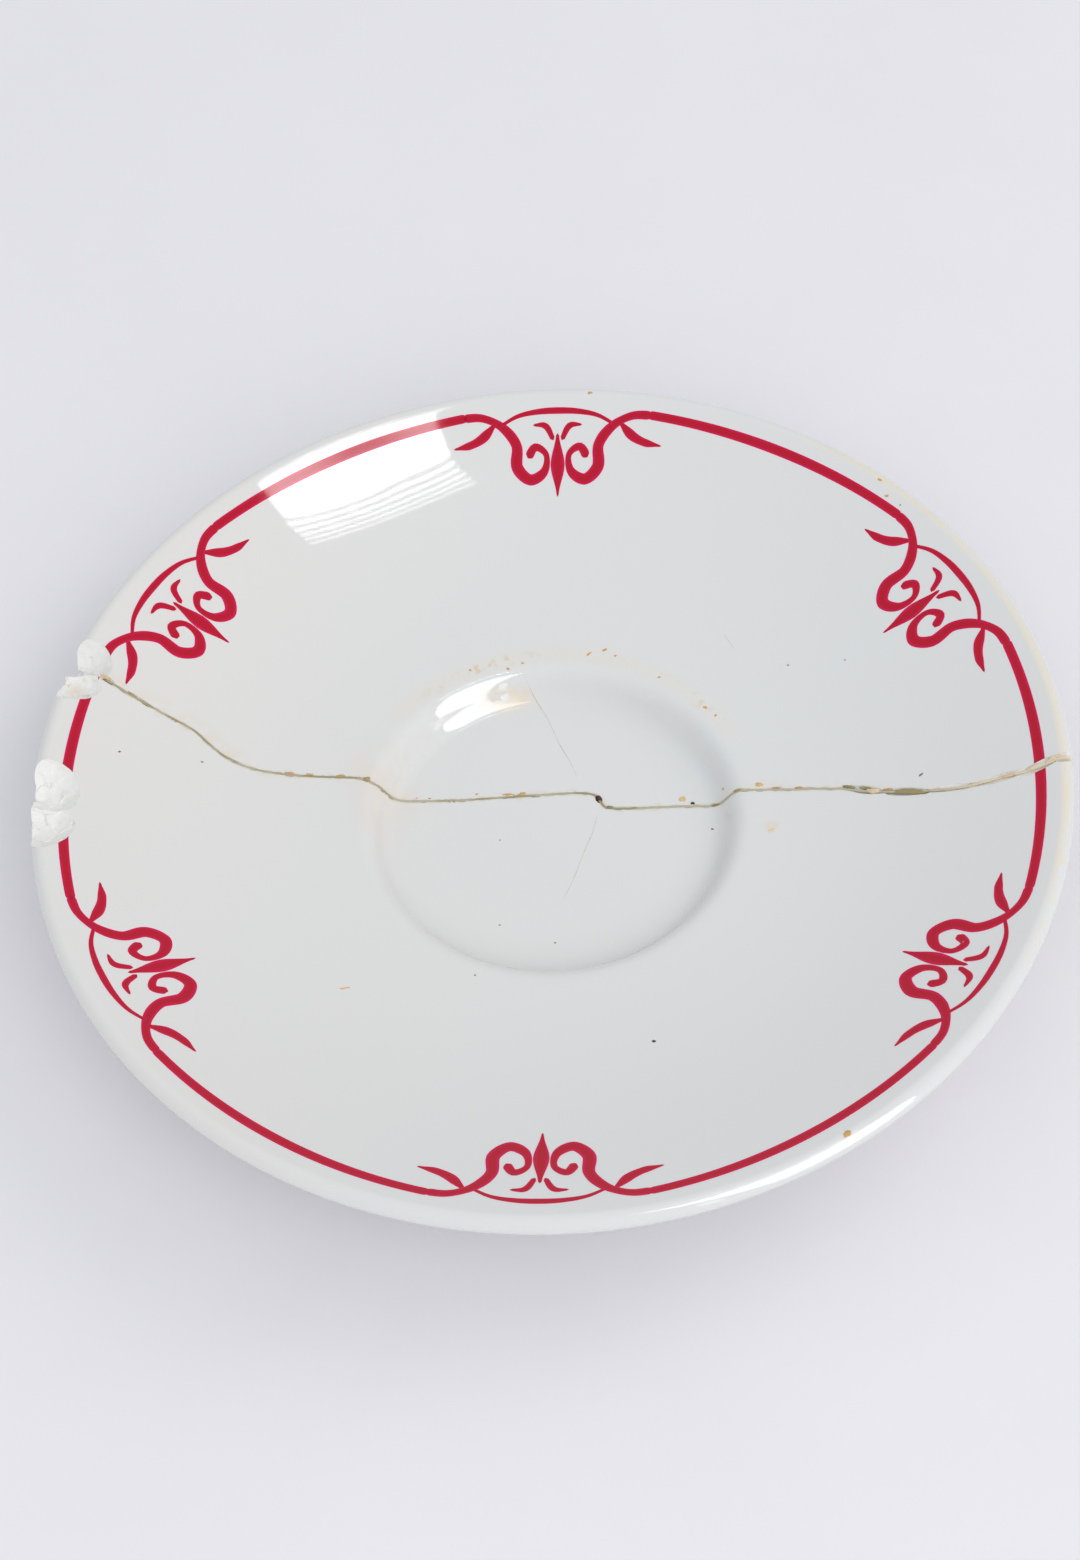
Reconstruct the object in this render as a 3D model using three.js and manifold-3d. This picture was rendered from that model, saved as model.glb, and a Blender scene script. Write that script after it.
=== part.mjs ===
// A porcelain cup saucer, broken right across into two shards that are fitted together again.
// Millimetres, +Z up. The origin is the centre of the foot ring's underside, and the front is -Y.

import * as THREE from "three";
import { mergeVertices } from "three/addons/utils/BufferGeometryUtils.js";
import Module from "manifold-3d";

const wasm = await Module();
wasm.setup();

// Rim and lip
const RIM_RADIUS = 75;
const RIM_HEIGHT = 22.3;
const LIP_THICKNESS = 3.1;

// The dish between the well and the lip, with its rise in degrees at either end
const DISH_RISE_AT_WELL = 4;
const DISH_RISE_AT_LIP = 24;

// The well that holds a cup
const WELL_FLOOR_RADIUS = 23;
const WELL_SIDE_WIDTH = 6;
const WELL_FLOOR_HEIGHT = 5.2;
const WELL_DEPTH = 4.4;
const WELL_FLOOR_THICKNESS = 3.4;

// The underside: the wall next to the foot ring, and the ring the saucer stands on
const WALL_AT_FOOT = 3.7;
const UNDERSIDE_RISE_AT_LIP = 25;
const FOOT_RADIUS = 29.8;
const FOOT_WIDTH = 2;
const FOOT_FLARE = 1.1;
const FOOT_ROUNDING = 0.7;

// The break, seen from above, from the left of the rim to the right. It ends past the rim.
const BREAK_LINE = [
  [-72.0, 25.0],
  [-69.3, 25.1],
  [-66.8, 24.8],
  [-65.2, 24.0],
  [-61.4, 21.8],
  [-56.5, 19.3],
  [-52.2, 17.0],
  [-50.5, 15.3],
  [-47.9, 13.0],
  [-44.3, 11.3],
  [-40.0, 10.5],
  [-34.0, 10.0],
  [-28.2, 9.5],
  [-26.0, 8.6],
  [-22.6, 8.0],
  [-15.0, 7.3],
  [-3.0, 7.0],
  [5.6, 6.5],
  [6.8, 5.8],
  [7.8, 3.9],
  [9.0, 3.4],
  [20.5, 2.6],
  [27.1, 1.8],
  [36.6, 0.3],
  [42.3, -0.9],
  [46.5, -2.5],
  [56.2, -5.5],
  [60.4, -6.3],
  [64.5, -6.6],
  [68.6, -6.9],
  [72.9, -6.6],
];
const BREAK_GAP = 0.38;
const BREAK_LEAN = 18;
const BREAK_LEAN_LENGTH = 46;
const BREAK_RIPPLE = 0.12;
const BREAK_RIPPLE_PITCH = 3;

// Flakes lost from the lip. Each left a shell-shaped scar that opens from the point of the blow:
// azimuth and tilt in degrees, how far in from the rim and below its top the blow fell, how far
// the scar reaches in and to each side along the rim, and how much its edge rises.
const SCARS = {
  backBesideBreak: { azimuth: 159.3, inset: 1.1, below: 3.1, reach: 4.1, along: 3.6, rise: 1.5, tilt: 14 },
  frontBesideBreak: { azimuth: 161.7, inset: 0.5, below: 2.1, reach: 4, along: 3, rise: 1.2, tilt: 18 },
  frontLarge: { azimuth: 177.2, inset: 0.6, below: 2.6, reach: 5.2, along: 3.7, rise: 1.6, tilt: 18 },
  frontLargeSecond: { azimuth: -177.5, inset: 0.5, below: 2.2, reach: 4.1, along: 3.7, rise: 1.4, tilt: 18 },
};
const SCAR_RIPPLE = 0.07;
const SCAR_RIPPLE_PITCH = 2.2;
const SCAR_WOBBLE = 0.06;

// Fineness of the curves
const TURN_STEPS = 96;
const BREAK_POINTS = 74;
const BREAK_LAYERS = 22;
const MARGIN = 2;

const degrees = THREE.MathUtils.degToRad;
const point = (radius, height) => new THREE.Vector2(radius, height);

// A direction in the profile that rises outwards by an angle in degrees.
const rising = (angle) => point(Math.cos(degrees(angle)), Math.sin(degrees(angle)));

// A curve between two points that leaves the first along one direction and meets the second
// along another, with handles that are a share of the distance.
function blend(from, along, to, into, handle = 0.38) {
  const reach = from.distanceTo(to) * handle;
  return new THREE.CubicBezierCurve(
    from,
    from.clone().addScaledVector(along, reach),
    to.clone().addScaledVector(into, -reach),
    to,
  );
}

// The lip's round edge, as the circle that the dish and the underside run into.
const LIP_RADIUS = LIP_THICKNESS / 2;
const lipCentre = point(RIM_RADIUS - LIP_RADIUS, RIM_HEIGHT - LIP_RADIUS);
const dishAngleOnLip = degrees(90 + DISH_RISE_AT_LIP);
const undersideAngleOnLip = degrees(UNDERSIDE_RISE_AT_LIP - 90);
const onLip = (angle) =>
  point(lipCentre.x + LIP_RADIUS * Math.cos(angle), lipCentre.y + LIP_RADIUS * Math.sin(angle));

const wellEdge = point(WELL_FLOOR_RADIUS + WELL_SIDE_WIDTH, WELL_FLOOR_HEIGHT + WELL_DEPTH);

// The upper face from the middle of the well to the lip.
function upperFace() {
  const floorEdge = point(WELL_FLOOR_RADIUS, WELL_FLOOR_HEIGHT);
  const side = blend(floorEdge, rising(0), wellEdge, rising(DISH_RISE_AT_WELL), 0.46);
  const dish = blend(wellEdge, rising(DISH_RISE_AT_WELL), onLip(dishAngleOnLip), rising(DISH_RISE_AT_LIP));
  return [point(0, WELL_FLOOR_HEIGHT), ...side.getPoints(8), ...dish.getPoints(9).slice(1)];
}

// The round edge of the lip, from the dish over the top to the underside.
function lipEdge() {
  const sweep = new THREE.EllipseCurve(
    lipCentre.x,
    lipCentre.y,
    LIP_RADIUS,
    LIP_RADIUS,
    dishAngleOnLip,
    undersideAngleOnLip,
    true,
  );
  return sweep.getPoints(8).slice(1);
}

// The underside from the lip in to the foot ring, round the ring and across to the axis.
function lowerFace() {
  const recess = WELL_FLOOR_HEIGHT - WELL_FLOOR_THICKNESS;
  const outside = FOOT_RADIUS + FOOT_WIDTH / 2;
  const inside = FOOT_RADIUS - FOOT_WIDTH / 2;
  const ringTop = point(outside + FOOT_FLARE + FOOT_ROUNDING, wellEdge.y - WALL_AT_FOOT);
  const ringOutside = point(outside + FOOT_ROUNDING, FOOT_ROUNDING);
  const ringInside = point(inside - FOOT_ROUNDING, FOOT_ROUNDING);
  const recessEdge = point(inside - FOOT_FLARE - FOOT_ROUNDING, recess);
  const inwards = rising(180 + UNDERSIDE_RISE_AT_LIP);
  const underDish = blend(onLip(undersideAngleOnLip), inwards, ringTop, rising(180 + DISH_RISE_AT_WELL));
  const ringFlank = blend(ringTop, rising(180 + DISH_RISE_AT_WELL), ringOutside, rising(-98), 0.3);
  const ringUnderOutside = new THREE.QuadraticBezierCurve(
    ringOutside,
    point(outside + FOOT_ROUNDING * 0.8, 0),
    point(outside, 0),
  );
  const ringUnderInside = new THREE.QuadraticBezierCurve(
    point(inside, 0),
    point(inside - FOOT_ROUNDING * 0.8, 0),
    ringInside,
  );
  const ringInner = blend(ringInside, rising(98), recessEdge, rising(180), 0.35);
  return [
    ...underDish.getPoints(8).slice(1),
    ...ringFlank.getPoints(4).slice(1),
    ...ringUnderOutside.getPoints(2).slice(1),
    ...ringUnderInside.getPoints(2),
    ...ringInner.getPoints(3).slice(1),
    point(0, recess),
  ];
}

// A closed solid from a geometry: its doubled vertices are merged and flat faces dropped.
function solid(geometry) {
  geometry.deleteAttribute("normal");
  geometry.deleteAttribute("uv");
  const merged = mergeVertices(geometry, 1e-4);
  const index = merged.index.array;
  const faces = [];
  for (let i = 0; i < index.length; i += 3) {
    const [a, b, c] = [index[i], index[i + 1], index[i + 2]];
    if (a !== b && b !== c && c !== a) faces.push(a, b, c);
  }
  return new wasm.Manifold(
    new wasm.Mesh({
      numProp: 3,
      vertProperties: merged.attributes.position.array,
      triVerts: new Uint32Array(faces),
    }),
  );
}

// A solid of revolution about Z from a profile that goes from the axis back to the axis.
function turned(profile, steps) {
  const geometry = new THREE.LatheGeometry([...profile].reverse(), steps);
  geometry.rotateX(Math.PI / 2);
  return solid(geometry);
}

const upper = upperFace();

// The height of the upper face at a distance from the axis.
function upperHeight(radius) {
  const next = upper.findIndex((p) => p.x >= radius);
  if (next < 0) return RIM_HEIGHT;
  if (next === 0) return upper[0].y;
  const [a, b] = [upper[next - 1], upper[next]];
  return THREE.MathUtils.mapLinear(radius, a.x, b.x, a.y, b.y);
}

// The break line as a smooth run of points, carried on past the rim at both ends.
function breakRun() {
  const line = BREAK_LINE.map(([x, y]) => new THREE.Vector3(x, y, 0));
  const beyond = (end, before) => {
    const way = end.clone().sub(before).normalize();
    return end.clone().addScaledVector(way, RIM_RADIUS * 1.2 - end.length());
  };
  line.unshift(beyond(line[0], line[1]));
  line.push(beyond(line.at(-1), line.at(-2)));
  return new THREE.CatmullRomCurve3(line, false, "centripetal").getSpacedPoints(BREAK_POINTS);
}

// The same run moved sideways, towards the back where the distance is positive.
function sideways(run, distance) {
  return run.map((p, i) => {
    const before = run[Math.max(i - 1, 0)];
    const after = run[Math.min(i + 1, run.length - 1)];
    const way = after.clone().sub(before).normalize();
    return new THREE.Vector2(p.x - way.y * distance, p.y + way.x * distance);
  });
}

// How far the break face has wandered from its line at a depth below the upper face. It leans
// one way and then the other along its length, with a faint ripple down the wall.
function breakWander(x, depth) {
  const lean = Math.tan(degrees(BREAK_LEAN)) * Math.sin((2 * Math.PI * x) / BREAK_LEAN_LENGTH);
  const ripple = BREAK_RIPPLE * Math.sin((2 * Math.PI * depth) / BREAK_RIPPLE_PITCH);
  return lean * depth + ripple;
}

// Everything behind the break, with its face a distance to the back of the break line.
function behindBreak(distance) {
  const face = sideways(breakRun(), distance);
  const far = RIM_RADIUS * 1.5;
  const outline = new THREE.Shape([point(face[0].x, far), ...face, point(face.at(-1).x, far)]);
  const height = RIM_HEIGHT + 2 * MARGIN;
  const geometry = new THREE.ExtrudeGeometry(outline, {
    depth: height,
    steps: BREAK_LAYERS,
    bevelEnabled: false,
  });
  geometry.translate(0, 0, -MARGIN);
  const places = geometry.attributes.position;
  for (let i = 0; i < places.count; i++) {
    const [x, y, z] = [places.getX(i), places.getY(i), places.getZ(i)];
    const depth = upperHeight(Math.hypot(x, y)) - z;
    places.setY(i, y + breakWander(x, depth));
  }
  return solid(geometry);
}

// The flake that a blow at the rim knocks off: a rippled shell with an uneven outline, closed by
// a lid above the lip.
function flake({ azimuth, inset, below, reach, along, rise, tilt }) {
  const across = 12;
  const spread = 1.4;
  const shell = [];
  for (let i = 0; i <= across; i++) {
    const out = (spread * i) / across;
    const ripple = SCAR_RIPPLE * Math.cos((2 * Math.PI * out * reach) / SCAR_RIPPLE_PITCH);
    shell.push(point(out, rise * out ** 2 + ripple));
  }
  const lid = rise + RIM_HEIGHT / 2;
  const geometry = new THREE.LatheGeometry([...shell, point(spread, lid), point(0, lid)], 30);
  geometry.rotateX(Math.PI / 2);
  const places = geometry.attributes.position;
  for (let i = 0; i < places.count; i++) {
    const [x, y] = [places.getX(i), places.getY(i)];
    const uneven = 1 + SCAR_WOBBLE * Math.sin(3 * Math.atan2(y, x) + azimuth);
    places.setXY(i, x * reach * uneven, y * along * uneven);
  }
  geometry.rotateY(degrees(-tilt));
  geometry.translate(RIM_RADIUS - inset, 0, RIM_HEIGHT - below);
  geometry.rotateZ(degrees(azimuth));
  return solid(geometry);
}

function meshOf(manifold, name, material) {
  const { vertProperties, triVerts } = manifold.getMesh();
  const geometry = new THREE.BufferGeometry();
  geometry.setAttribute("position", new THREE.BufferAttribute(vertProperties, 3));
  geometry.setIndex(new THREE.BufferAttribute(triVerts, 1));
  geometry.computeVertexNormals();
  const mesh = new THREE.Mesh(geometry, material);
  mesh.name = name;
  return mesh;
}

const saucer = turned([...upper, ...lipEdge(), ...lowerFace()], TURN_STEPS);

const shardBack = saucer
  .intersect(behindBreak(BREAK_GAP / 2))
  .subtract(flake(SCARS.backBesideBreak));

const shardFront = saucer
  .subtract(behindBreak(-BREAK_GAP / 2))
  .subtract(flake(SCARS.frontBesideBreak))
  .subtract(flake(SCARS.frontLarge))
  .subtract(flake(SCARS.frontLargeSecond));

const porcelain = new THREE.MeshStandardMaterial({ color: 0xdfe0e1, roughness: 0.12, metalness: 0 });

const brokenSaucer = new THREE.Group();
brokenSaucer.name = "broken_saucer";
brokenSaucer.add(meshOf(shardBack, "shard_back", porcelain));
brokenSaucer.add(meshOf(shardFront, "shard_front", porcelain.clone()));

export default brokenSaucer;
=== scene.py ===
"""A porcelain cup saucer, broken right across into two shards that are fitted together again.

Metres, +Z up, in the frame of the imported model: the origin is the centre of the foot ring's
underside, and the front is -Y. Sizes that are written in millimetres are multiplied by MM.
"""

import math
import random
from bisect import bisect_left

import bmesh
import bpy
from bpy.props import FloatProperty, FloatVectorProperty, IntProperty, PointerProperty
from mathutils import Matrix, Vector, noise
from mathutils.geometry import interpolate_bezier


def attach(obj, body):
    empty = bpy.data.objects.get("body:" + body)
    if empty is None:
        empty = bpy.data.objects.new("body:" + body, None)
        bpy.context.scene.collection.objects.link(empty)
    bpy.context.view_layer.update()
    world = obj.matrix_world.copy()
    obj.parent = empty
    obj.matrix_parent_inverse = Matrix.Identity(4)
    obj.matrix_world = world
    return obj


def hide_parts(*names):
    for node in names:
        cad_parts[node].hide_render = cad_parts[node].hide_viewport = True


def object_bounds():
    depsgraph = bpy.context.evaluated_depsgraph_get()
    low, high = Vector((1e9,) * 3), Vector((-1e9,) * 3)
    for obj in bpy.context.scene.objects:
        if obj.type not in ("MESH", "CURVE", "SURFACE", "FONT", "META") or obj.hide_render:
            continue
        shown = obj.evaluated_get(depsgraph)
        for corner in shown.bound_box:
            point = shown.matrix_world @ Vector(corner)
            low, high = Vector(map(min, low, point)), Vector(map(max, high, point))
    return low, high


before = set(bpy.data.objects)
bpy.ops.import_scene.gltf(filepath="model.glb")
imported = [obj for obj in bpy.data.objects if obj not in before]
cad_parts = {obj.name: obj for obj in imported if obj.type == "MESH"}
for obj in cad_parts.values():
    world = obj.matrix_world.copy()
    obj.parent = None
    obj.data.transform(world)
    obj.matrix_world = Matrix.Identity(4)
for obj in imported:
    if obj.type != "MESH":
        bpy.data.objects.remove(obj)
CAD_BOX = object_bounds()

bl_info = {
    "name": "Broken Saucer",
    "version": (1, 0, 0),
    "blender": (4, 5, 0),
    "location": "3D View > Sidebar > Saucer",
    "description": "Builds a porcelain cup saucer that is broken in two and fitted together again",
    "category": "Add Mesh",
}

MM = 0.001

# Profile of the saucer, in millimetres and degrees
DISH_RISE_AT_WELL = 4
DISH_RISE_AT_LIP = 24
WELL_FLOOR_HEIGHT = 5.2
WELL_FLOOR_THICKNESS = 3.4
WALL_AT_FOOT = 3.7
UNDERSIDE_RISE_AT_LIP = 25
FOOT_WIDTH = 2
FOOT_FLARE = 1.1
FOOT_ROUNDING = 0.7
UNGLAZED_HEIGHT = 0.45

# The break, seen from above, from the left of the rim to the right, in millimetres
BREAK_LINE = [
    (-72.0, 25.0),
    (-69.3, 25.1),
    (-66.8, 24.8),
    (-65.2, 24.0),
    (-61.4, 21.8),
    (-56.5, 19.3),
    (-52.2, 17.0),
    (-50.5, 15.3),
    (-47.9, 13.0),
    (-44.3, 11.3),
    (-40.0, 10.5),
    (-34.0, 10.0),
    (-28.2, 9.5),
    (-26.0, 8.6),
    (-22.6, 8.0),
    (-15.0, 7.3),
    (-3.0, 7.0),
    (5.6, 6.5),
    (6.8, 5.8),
    (7.8, 3.9),
    (9.0, 3.4),
    (20.5, 2.6),
    (27.1, 1.8),
    (36.6, 0.3),
    (42.3, -0.9),
    (46.5, -2.5),
    (56.2, -5.5),
    (60.4, -6.3),
    (64.5, -6.6),
    (68.6, -6.9),
    (72.9, -6.6),
]
BREAK_LEAN = 18
BREAK_LEAN_LENGTH = 46
BREAK_RIPPLE = 0.12
BREAK_RIPPLE_PITCH = 3
BREAK_STEP = 0.4
BREAK_LAYER = 0.4
BREAK_MARGIN = 2
BREAK_TREMOR = 0.05
BREAK_TREMOR_PITCH = 0.9

# Flakes lost from the lip, in millimetres and degrees: where the blow fell, how far the scar
# reaches in and to each side along the rim, how much its edge rises and how far it tilts.
SCAR_TERMS = ("azimuth", "inset", "below", "reach", "along", "rise", "tilt")
BACK_SCARS = [(159.3, 1.1, 3.1, 4.1, 3.6, 1.5, 14)]
FRONT_SCARS = [
    (161.7, 0.5, 2.1, 4.0, 3.0, 1.2, 18),
    (177.2, 0.6, 2.6, 5.2, 3.7, 1.6, 18),
    (-177.9, 0.5, 2.2, 4.5, 3.9, 1.4, 18),
]
SCAR_HOLLOW = 2.6
SCAR_RIPPLE = 0.025
SCAR_RIPPLE_PITCH = 2.2
SCAR_WOBBLE = 0.06
SCAR_SPREAD = 1.4
SCAR_GRAIN = 0.035
SCAR_FACET = 1.7
SCAR_FACET_TILT = 0.6

# Shallow spalls in the glaze along the break, in millimetres: how far along X, how far to the
# back of the line, half the length, half the width and the depth
SPALLS = [
    (-64.6, 0.1, 1.6, 0.5, 0.35),
    (-60.0, 0.15, 2.2, 0.25, 0.3),
    (-46.5, 0.1, 1.8, 0.22, 0.25),
    (-27.4, 0.1, 0.8, 0.35, 0.3),
    (7.1, 0.0, 0.75, 0.5, 0.9),
    (10.5, 0.15, 2.6, 0.3, 0.3),
    (23.0, 0.2, 2.4, 0.3, 0.25),
    (37.0, 0.15, 2.0, 0.25, 0.25),
    (45.6, 0.2, 3.4, 0.7, 0.5),
    (51.4, 0.0, 4.0, 0.75, 0.45),
    (58.0, 0.1, 3.8, 0.62, 0.4),
    (64.2, -0.05, 4.0, 0.72, 0.45),
    (69.9, 0.1, 3.6, 0.85, 0.5),
    (73.6, 0.1, 1.8, 0.9, 0.7),
]
CRUMBS = 70
CRUMB_SEED = 11

# Fineness of the surfaces
SECTOR_STEPS = 15
SAUCER_DOUBLINGS = 5
SCAR_DOUBLINGS = 3
FLOOR_ROWS = 12
SIDE_ROWS = 16
DISH_ROWS = 62
LIP_ROWS = 18
UNDERSIDE_ROWS = 44

# The printed border. Strokes lie along the rim and in from the running line, in millimetres.
MOTIF_HALF_SPAN = 15
BORDER_STROKES = [
    # points, widths from one end to the other, mirrored
    (
        [(-15, 0), (-12, 0.4), (-9, 2.2), (-7, 5.2), (-7.2, 8.6), (-5, 10.6), (-2.4, 9.4), (-2, 6.8), (-3.8, 5.6), (-5.2, 7.2)],
        (1.35, 1.2, 1.7, 2.1, 1.7, 1.0, 1.5),
        True,
    ),
    ([(-9.4, 2.0), (-6.4, 0.7), (-3.2, 0.2), (0, 0.1), (3.2, 0.2), (6.4, 0.7), (9.4, 2.0)], (0.5, 1.0, 0.5), False),
    ([(-9.9, 1.4), (-12.4, 3.4), (-14.6, 4.2), (-17.6, 4.4)], (0.5, 1.5, 1.2, 0.3), True),
    ([(0, 3.6), (0.0, 7.5), (0, 13.4)], (0.5, 2.5, 0.4), False),
    ([(-0.7, 4.6), (-2.0, 2.4), (-4.0, 2.2)], (0.8, 1.0, 0.4), True),
]
RUN_WIDTHS = (1.35, 1.5, 1.35)
STROKE_STEP = 0.35
STROKE_COLUMNS = 6
NEAR_BREAK = 2.0

# Crusts of old adhesive and dirt on the break, in millimetres and degrees: place in X, how far
# to the back of the line, length, width, height, darkness from cream -0.5 over ochre 0 to near black 1
CRUSTS = [
    (-64.8, 0.3, 1.8, 0.45, 0.2, -0.15),
    (-61.2, 0.25, 1.6, 0.35, 0.15, 0.3),
    (-38.6, 0.3, 1.8, 0.4, 0.18, 0.2),
    (-35.6, 0.35, 1.4, 0.35, 0.15, 0.12),
    (-31.0, 0.3, 1.7, 0.4, 0.16, 0.2),
    (-27.2, 0.2, 1.1, 0.8, 0.3, 0.3),
    (-20.2, 0.55, 0.35, 0.3, 0.1, 0.2),
    (-18.2, 0.5, 0.4, 0.3, 0.1, 0.2),
    (-11.1, 0.95, 0.4, 0.35, 0.12, 0.1),
    (-6.4, 0.5, 1.6, 0.4, 0.15, 0.15),
    (-4.2, 0.45, 1.3, 0.45, 0.18, 0.1),
    (7.0, 0.1, 1.15, 0.8, 0.35, 1.0),
    (8.6, 0.15, 1.2, 0.5, 0.2, 0.55),
    (19.4, 1.3, 1.4, 1.0, 0.1, -0.15),
    (20.9, 0.6, 0.65, 0.5, 0.25, 0.95),
    (25.4, 1.9, 0.55, 0.4, 0.12, 0.2),
    (24.4, 0.0, 3.6, 0.4, 0.1, 0.42),
    (27.5, 0.25, 1.3, 0.4, 0.15, 0.35),
    (30.6, 0.9, 1.4, 0.8, 0.15, -0.1),
    (33.2, 0.35, 1.6, 0.35, 0.14, 0.3),
    (36.4, 0.3, 1.2, 0.35, 0.14, 0.2),
    (43.4, 0.42, 1.9, 0.4, 0.2, 0.5),
    (45.7, 0.55, 1.7, 0.35, 0.2, 0.42),
    (46.9, 0.12, 2.0, 0.75, 0.24, -0.25),
    (48.9, 0.4, 1.5, 0.3, 0.18, 0.2),
    (51.9, 0.02, 5.4, 0.85, 0.16, 0.4),
    (60.8, 0.1, 2.4, 0.3, 0.14, -0.25),
    (65.4, 0.0, 2.8, 0.35, 0.16, -0.2),
    (69.2, 0.15, 2.6, 0.45, 0.2, -0.3),
    (71.9, 0.45, 2.2, 0.8, 0.3, -0.25),
]

# Specks of dirt on the glaze, in millimetres: place in X and Y, length, width, turn in degrees
# and darkness
SPECKS = [
    (23.4, -1.9, 0.55, 0.25, -20, 0.8),
    (53.9, -1.9, 0.8, 0.4, 35, 0.6),
    (11.3, -41.5, 0.6, 0.45, 0, 0.9),
    (45.8, 21.4, 0.35, 0.3, 0, 0.35),
    (37.4, 22.7, 0.4, 0.3, 0, 0.3),
    (-62.8, 11.6, 0.5, 0.3, 10, 0.75),
    (-51.2, 11.7, 0.5, 0.3, -15, 0.5),
    (-8.1, -0.7, 0.3, 0.2, 40, 0.45),
    (-9.0, -15.8, 0.3, 0.25, 0, 0.5),
    (-1.2, -19.7, 0.35, 0.25, 0, 0.4),
    (-31.3, -28.5, 1.6, 0.3, 12, -0.1),
    (55.0, -34.0, 0.5, 0.35, 60, 0.5),
    (-12.9, -27.0, 0.4, 0.3, 0, 0.35),
    (11.5, 72.4, 0.9, 0.45, 0, 0.15),
    (54.4, 49.0, 0.8, 0.4, -45, 0.08),
    (55.1, 46.1, 0.6, 0.45, 0, 0.06),
    (56.9, 44.0, 0.35, 0.3, 0, 0.1),
    (34.9, -64.6, 1.3, 0.8, 25, 0.15),
    (-10.7, 28.4, 0.6, 0.35, -20, 0.02),
    (-4.9, 28.2, 0.7, 0.4, -30, 0.02),
    (-2.6, 29.0, 0.5, 0.4, 0, 0.06),
    (7.6, 29.6, 0.9, 0.4, 40, 0.02),
    (10.1, 30.1, 0.8, 0.5, 20, 0.04),
    (11.6, 28.8, 0.5, 0.35, 0, 0.08),
    (17.9, 24.0, 0.45, 0.35, 0, 0.05),
    (24.3, 17.5, 0.7, 0.5, -30, 0.03),
    (25.7, 15.8, 0.5, 0.4, 0, 0.08),
    (31.7, -6.3, 1.3, 0.8, 20, -0.3),
]
SPECK_THICKNESS = 0.12

# Hairlines in the glaze, seen from above, in millimetres
HAIRLINES = [
    [(-2.9, 27.6), (-0.9, 24.4), (0.3, 21.8), (2.0, 16.1), (3.3, 12.7), (4.2, 9.6)],
    [(6.7, 2.6), (5.6, -0.9), (4.3, -3.8), (2.2, -8.9), (0.5, -12.3)],
    [(28.4, 30.1), (29.3, 28.2), (29.7, 27.1)],
]
HAIRLINE_WIDTH = 0.13

# The camera, from how the photograph sees the saucer
PICTURE_WIDTH = 1080
PICTURE_HEIGHT = 1560
CAMERA_AIM = Vector((-1.44, 9.78, 5.2)) * MM
SENSOR = 36


def colour(red, green, blue):
    """A scene-linear colour with full alpha from screen values of 0 to 255."""
    linear = [c / 3294.6 if c < 10.32 else ((c / 255 + 0.055) / 1.055) ** 2.4 for c in (red, green, blue)]
    return (*linear, 1.0)


def paint(name, description, red, green, blue):
    """A colour on the panel, given by its screen values."""
    return FloatVectorProperty(
        name=name,
        description=description,
        subtype="COLOR",
        size=4,
        min=0.0,
        max=1.0,
        default=colour(red, green, blue),
    )


def length(name, description, millimetres):
    """A length on the panel, given in millimetres."""
    return FloatProperty(name=name, description=description, unit="LENGTH", precision=5, default=millimetres * MM)


class SaucerShape(bpy.types.PropertyGroup):
    """The sizes of the whole saucer and of its break."""

    rim_radius: FloatProperty(
        name="Rim radius",
        description="From the axis to the outside of the lip",
        unit="LENGTH",
        precision=5,
        default=(CAD_BOX[1].x - CAD_BOX[0].x) / 2,
    )
    rim_height: FloatProperty(
        name="Rim height",
        description="From the table to the top of the lip",
        unit="LENGTH",
        precision=5,
        default=CAD_BOX[1].z,
    )
    lip_thickness: length("Lip thickness", "Thickness of the rounded lip", 3.1)
    well_radius: length("Well radius", "Radius of the flat floor that a cup stands on", 23)
    well_side: length("Well side", "Width of the sloping side of the well, seen from above", 6)
    well_depth: length("Well depth", "How far the well is sunk into the dish", 4.4)
    foot_radius: length("Foot radius", "Radius of the middle of the foot ring", 29.8)
    gap: length("Break gap", "How far apart the two faces of the break are", 0.38)
    film_setback: length("Adhesive set back", "How far the old adhesive lies below the glaze", 0.03)


class SaucerBorder(bpy.types.PropertyGroup):
    """The sizes of the printed border."""

    motifs: IntProperty(name="Motifs", description="How many motifs stand round the rim", default=6, min=2, max=8)
    first_azimuth: FloatProperty(
        name="First motif",
        description="Direction of the first motif from the axis",
        unit="ROTATION",
        default=math.radians(25),
    )
    radius: length("Running line radius", "Radius of the line that joins the motifs", 70.6)
    lift: length("Lift", "How far the print stands proud of the glaze", 0.03)


class SaucerFinish(bpy.types.PropertyGroup):
    """The colours of the saucer and of what it lies on."""

    porcelain: paint("Porcelain", "White porcelain under clear glaze", 224, 226, 227)
    # This warm tint stands for a random yellowed tone in the glaze, and also for painted warm light on the left side of
    # the dish.
    porcelain_warm: paint("Warm porcelain", "Where the glaze has yellowed a little", 227, 223, 219)
    body: paint("Bare body", "Porcelain where the glaze is lost", 238, 237, 234)
    crimson: paint("Print", "Thick print in the middle of a stroke", 184, 0, 38)
    crimson_thin: paint("Thin print", "Print along the edges of a stroke", 212, 0, 84)
    adhesive: paint("Old adhesive", "Adhesive and dirt in the break", 184, 178, 158)
    ochre: paint("Ochre", "Rusty stain and crust", 214, 160, 84)
    olive: paint("Olive dirt", "Dirt in the edge of the break", 148, 140, 102)
    dark: paint("Dark crust", "The darkest crust", 62, 14, 8)
    floor: paint("Floor", "The table top", 238, 236, 240)


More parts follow.
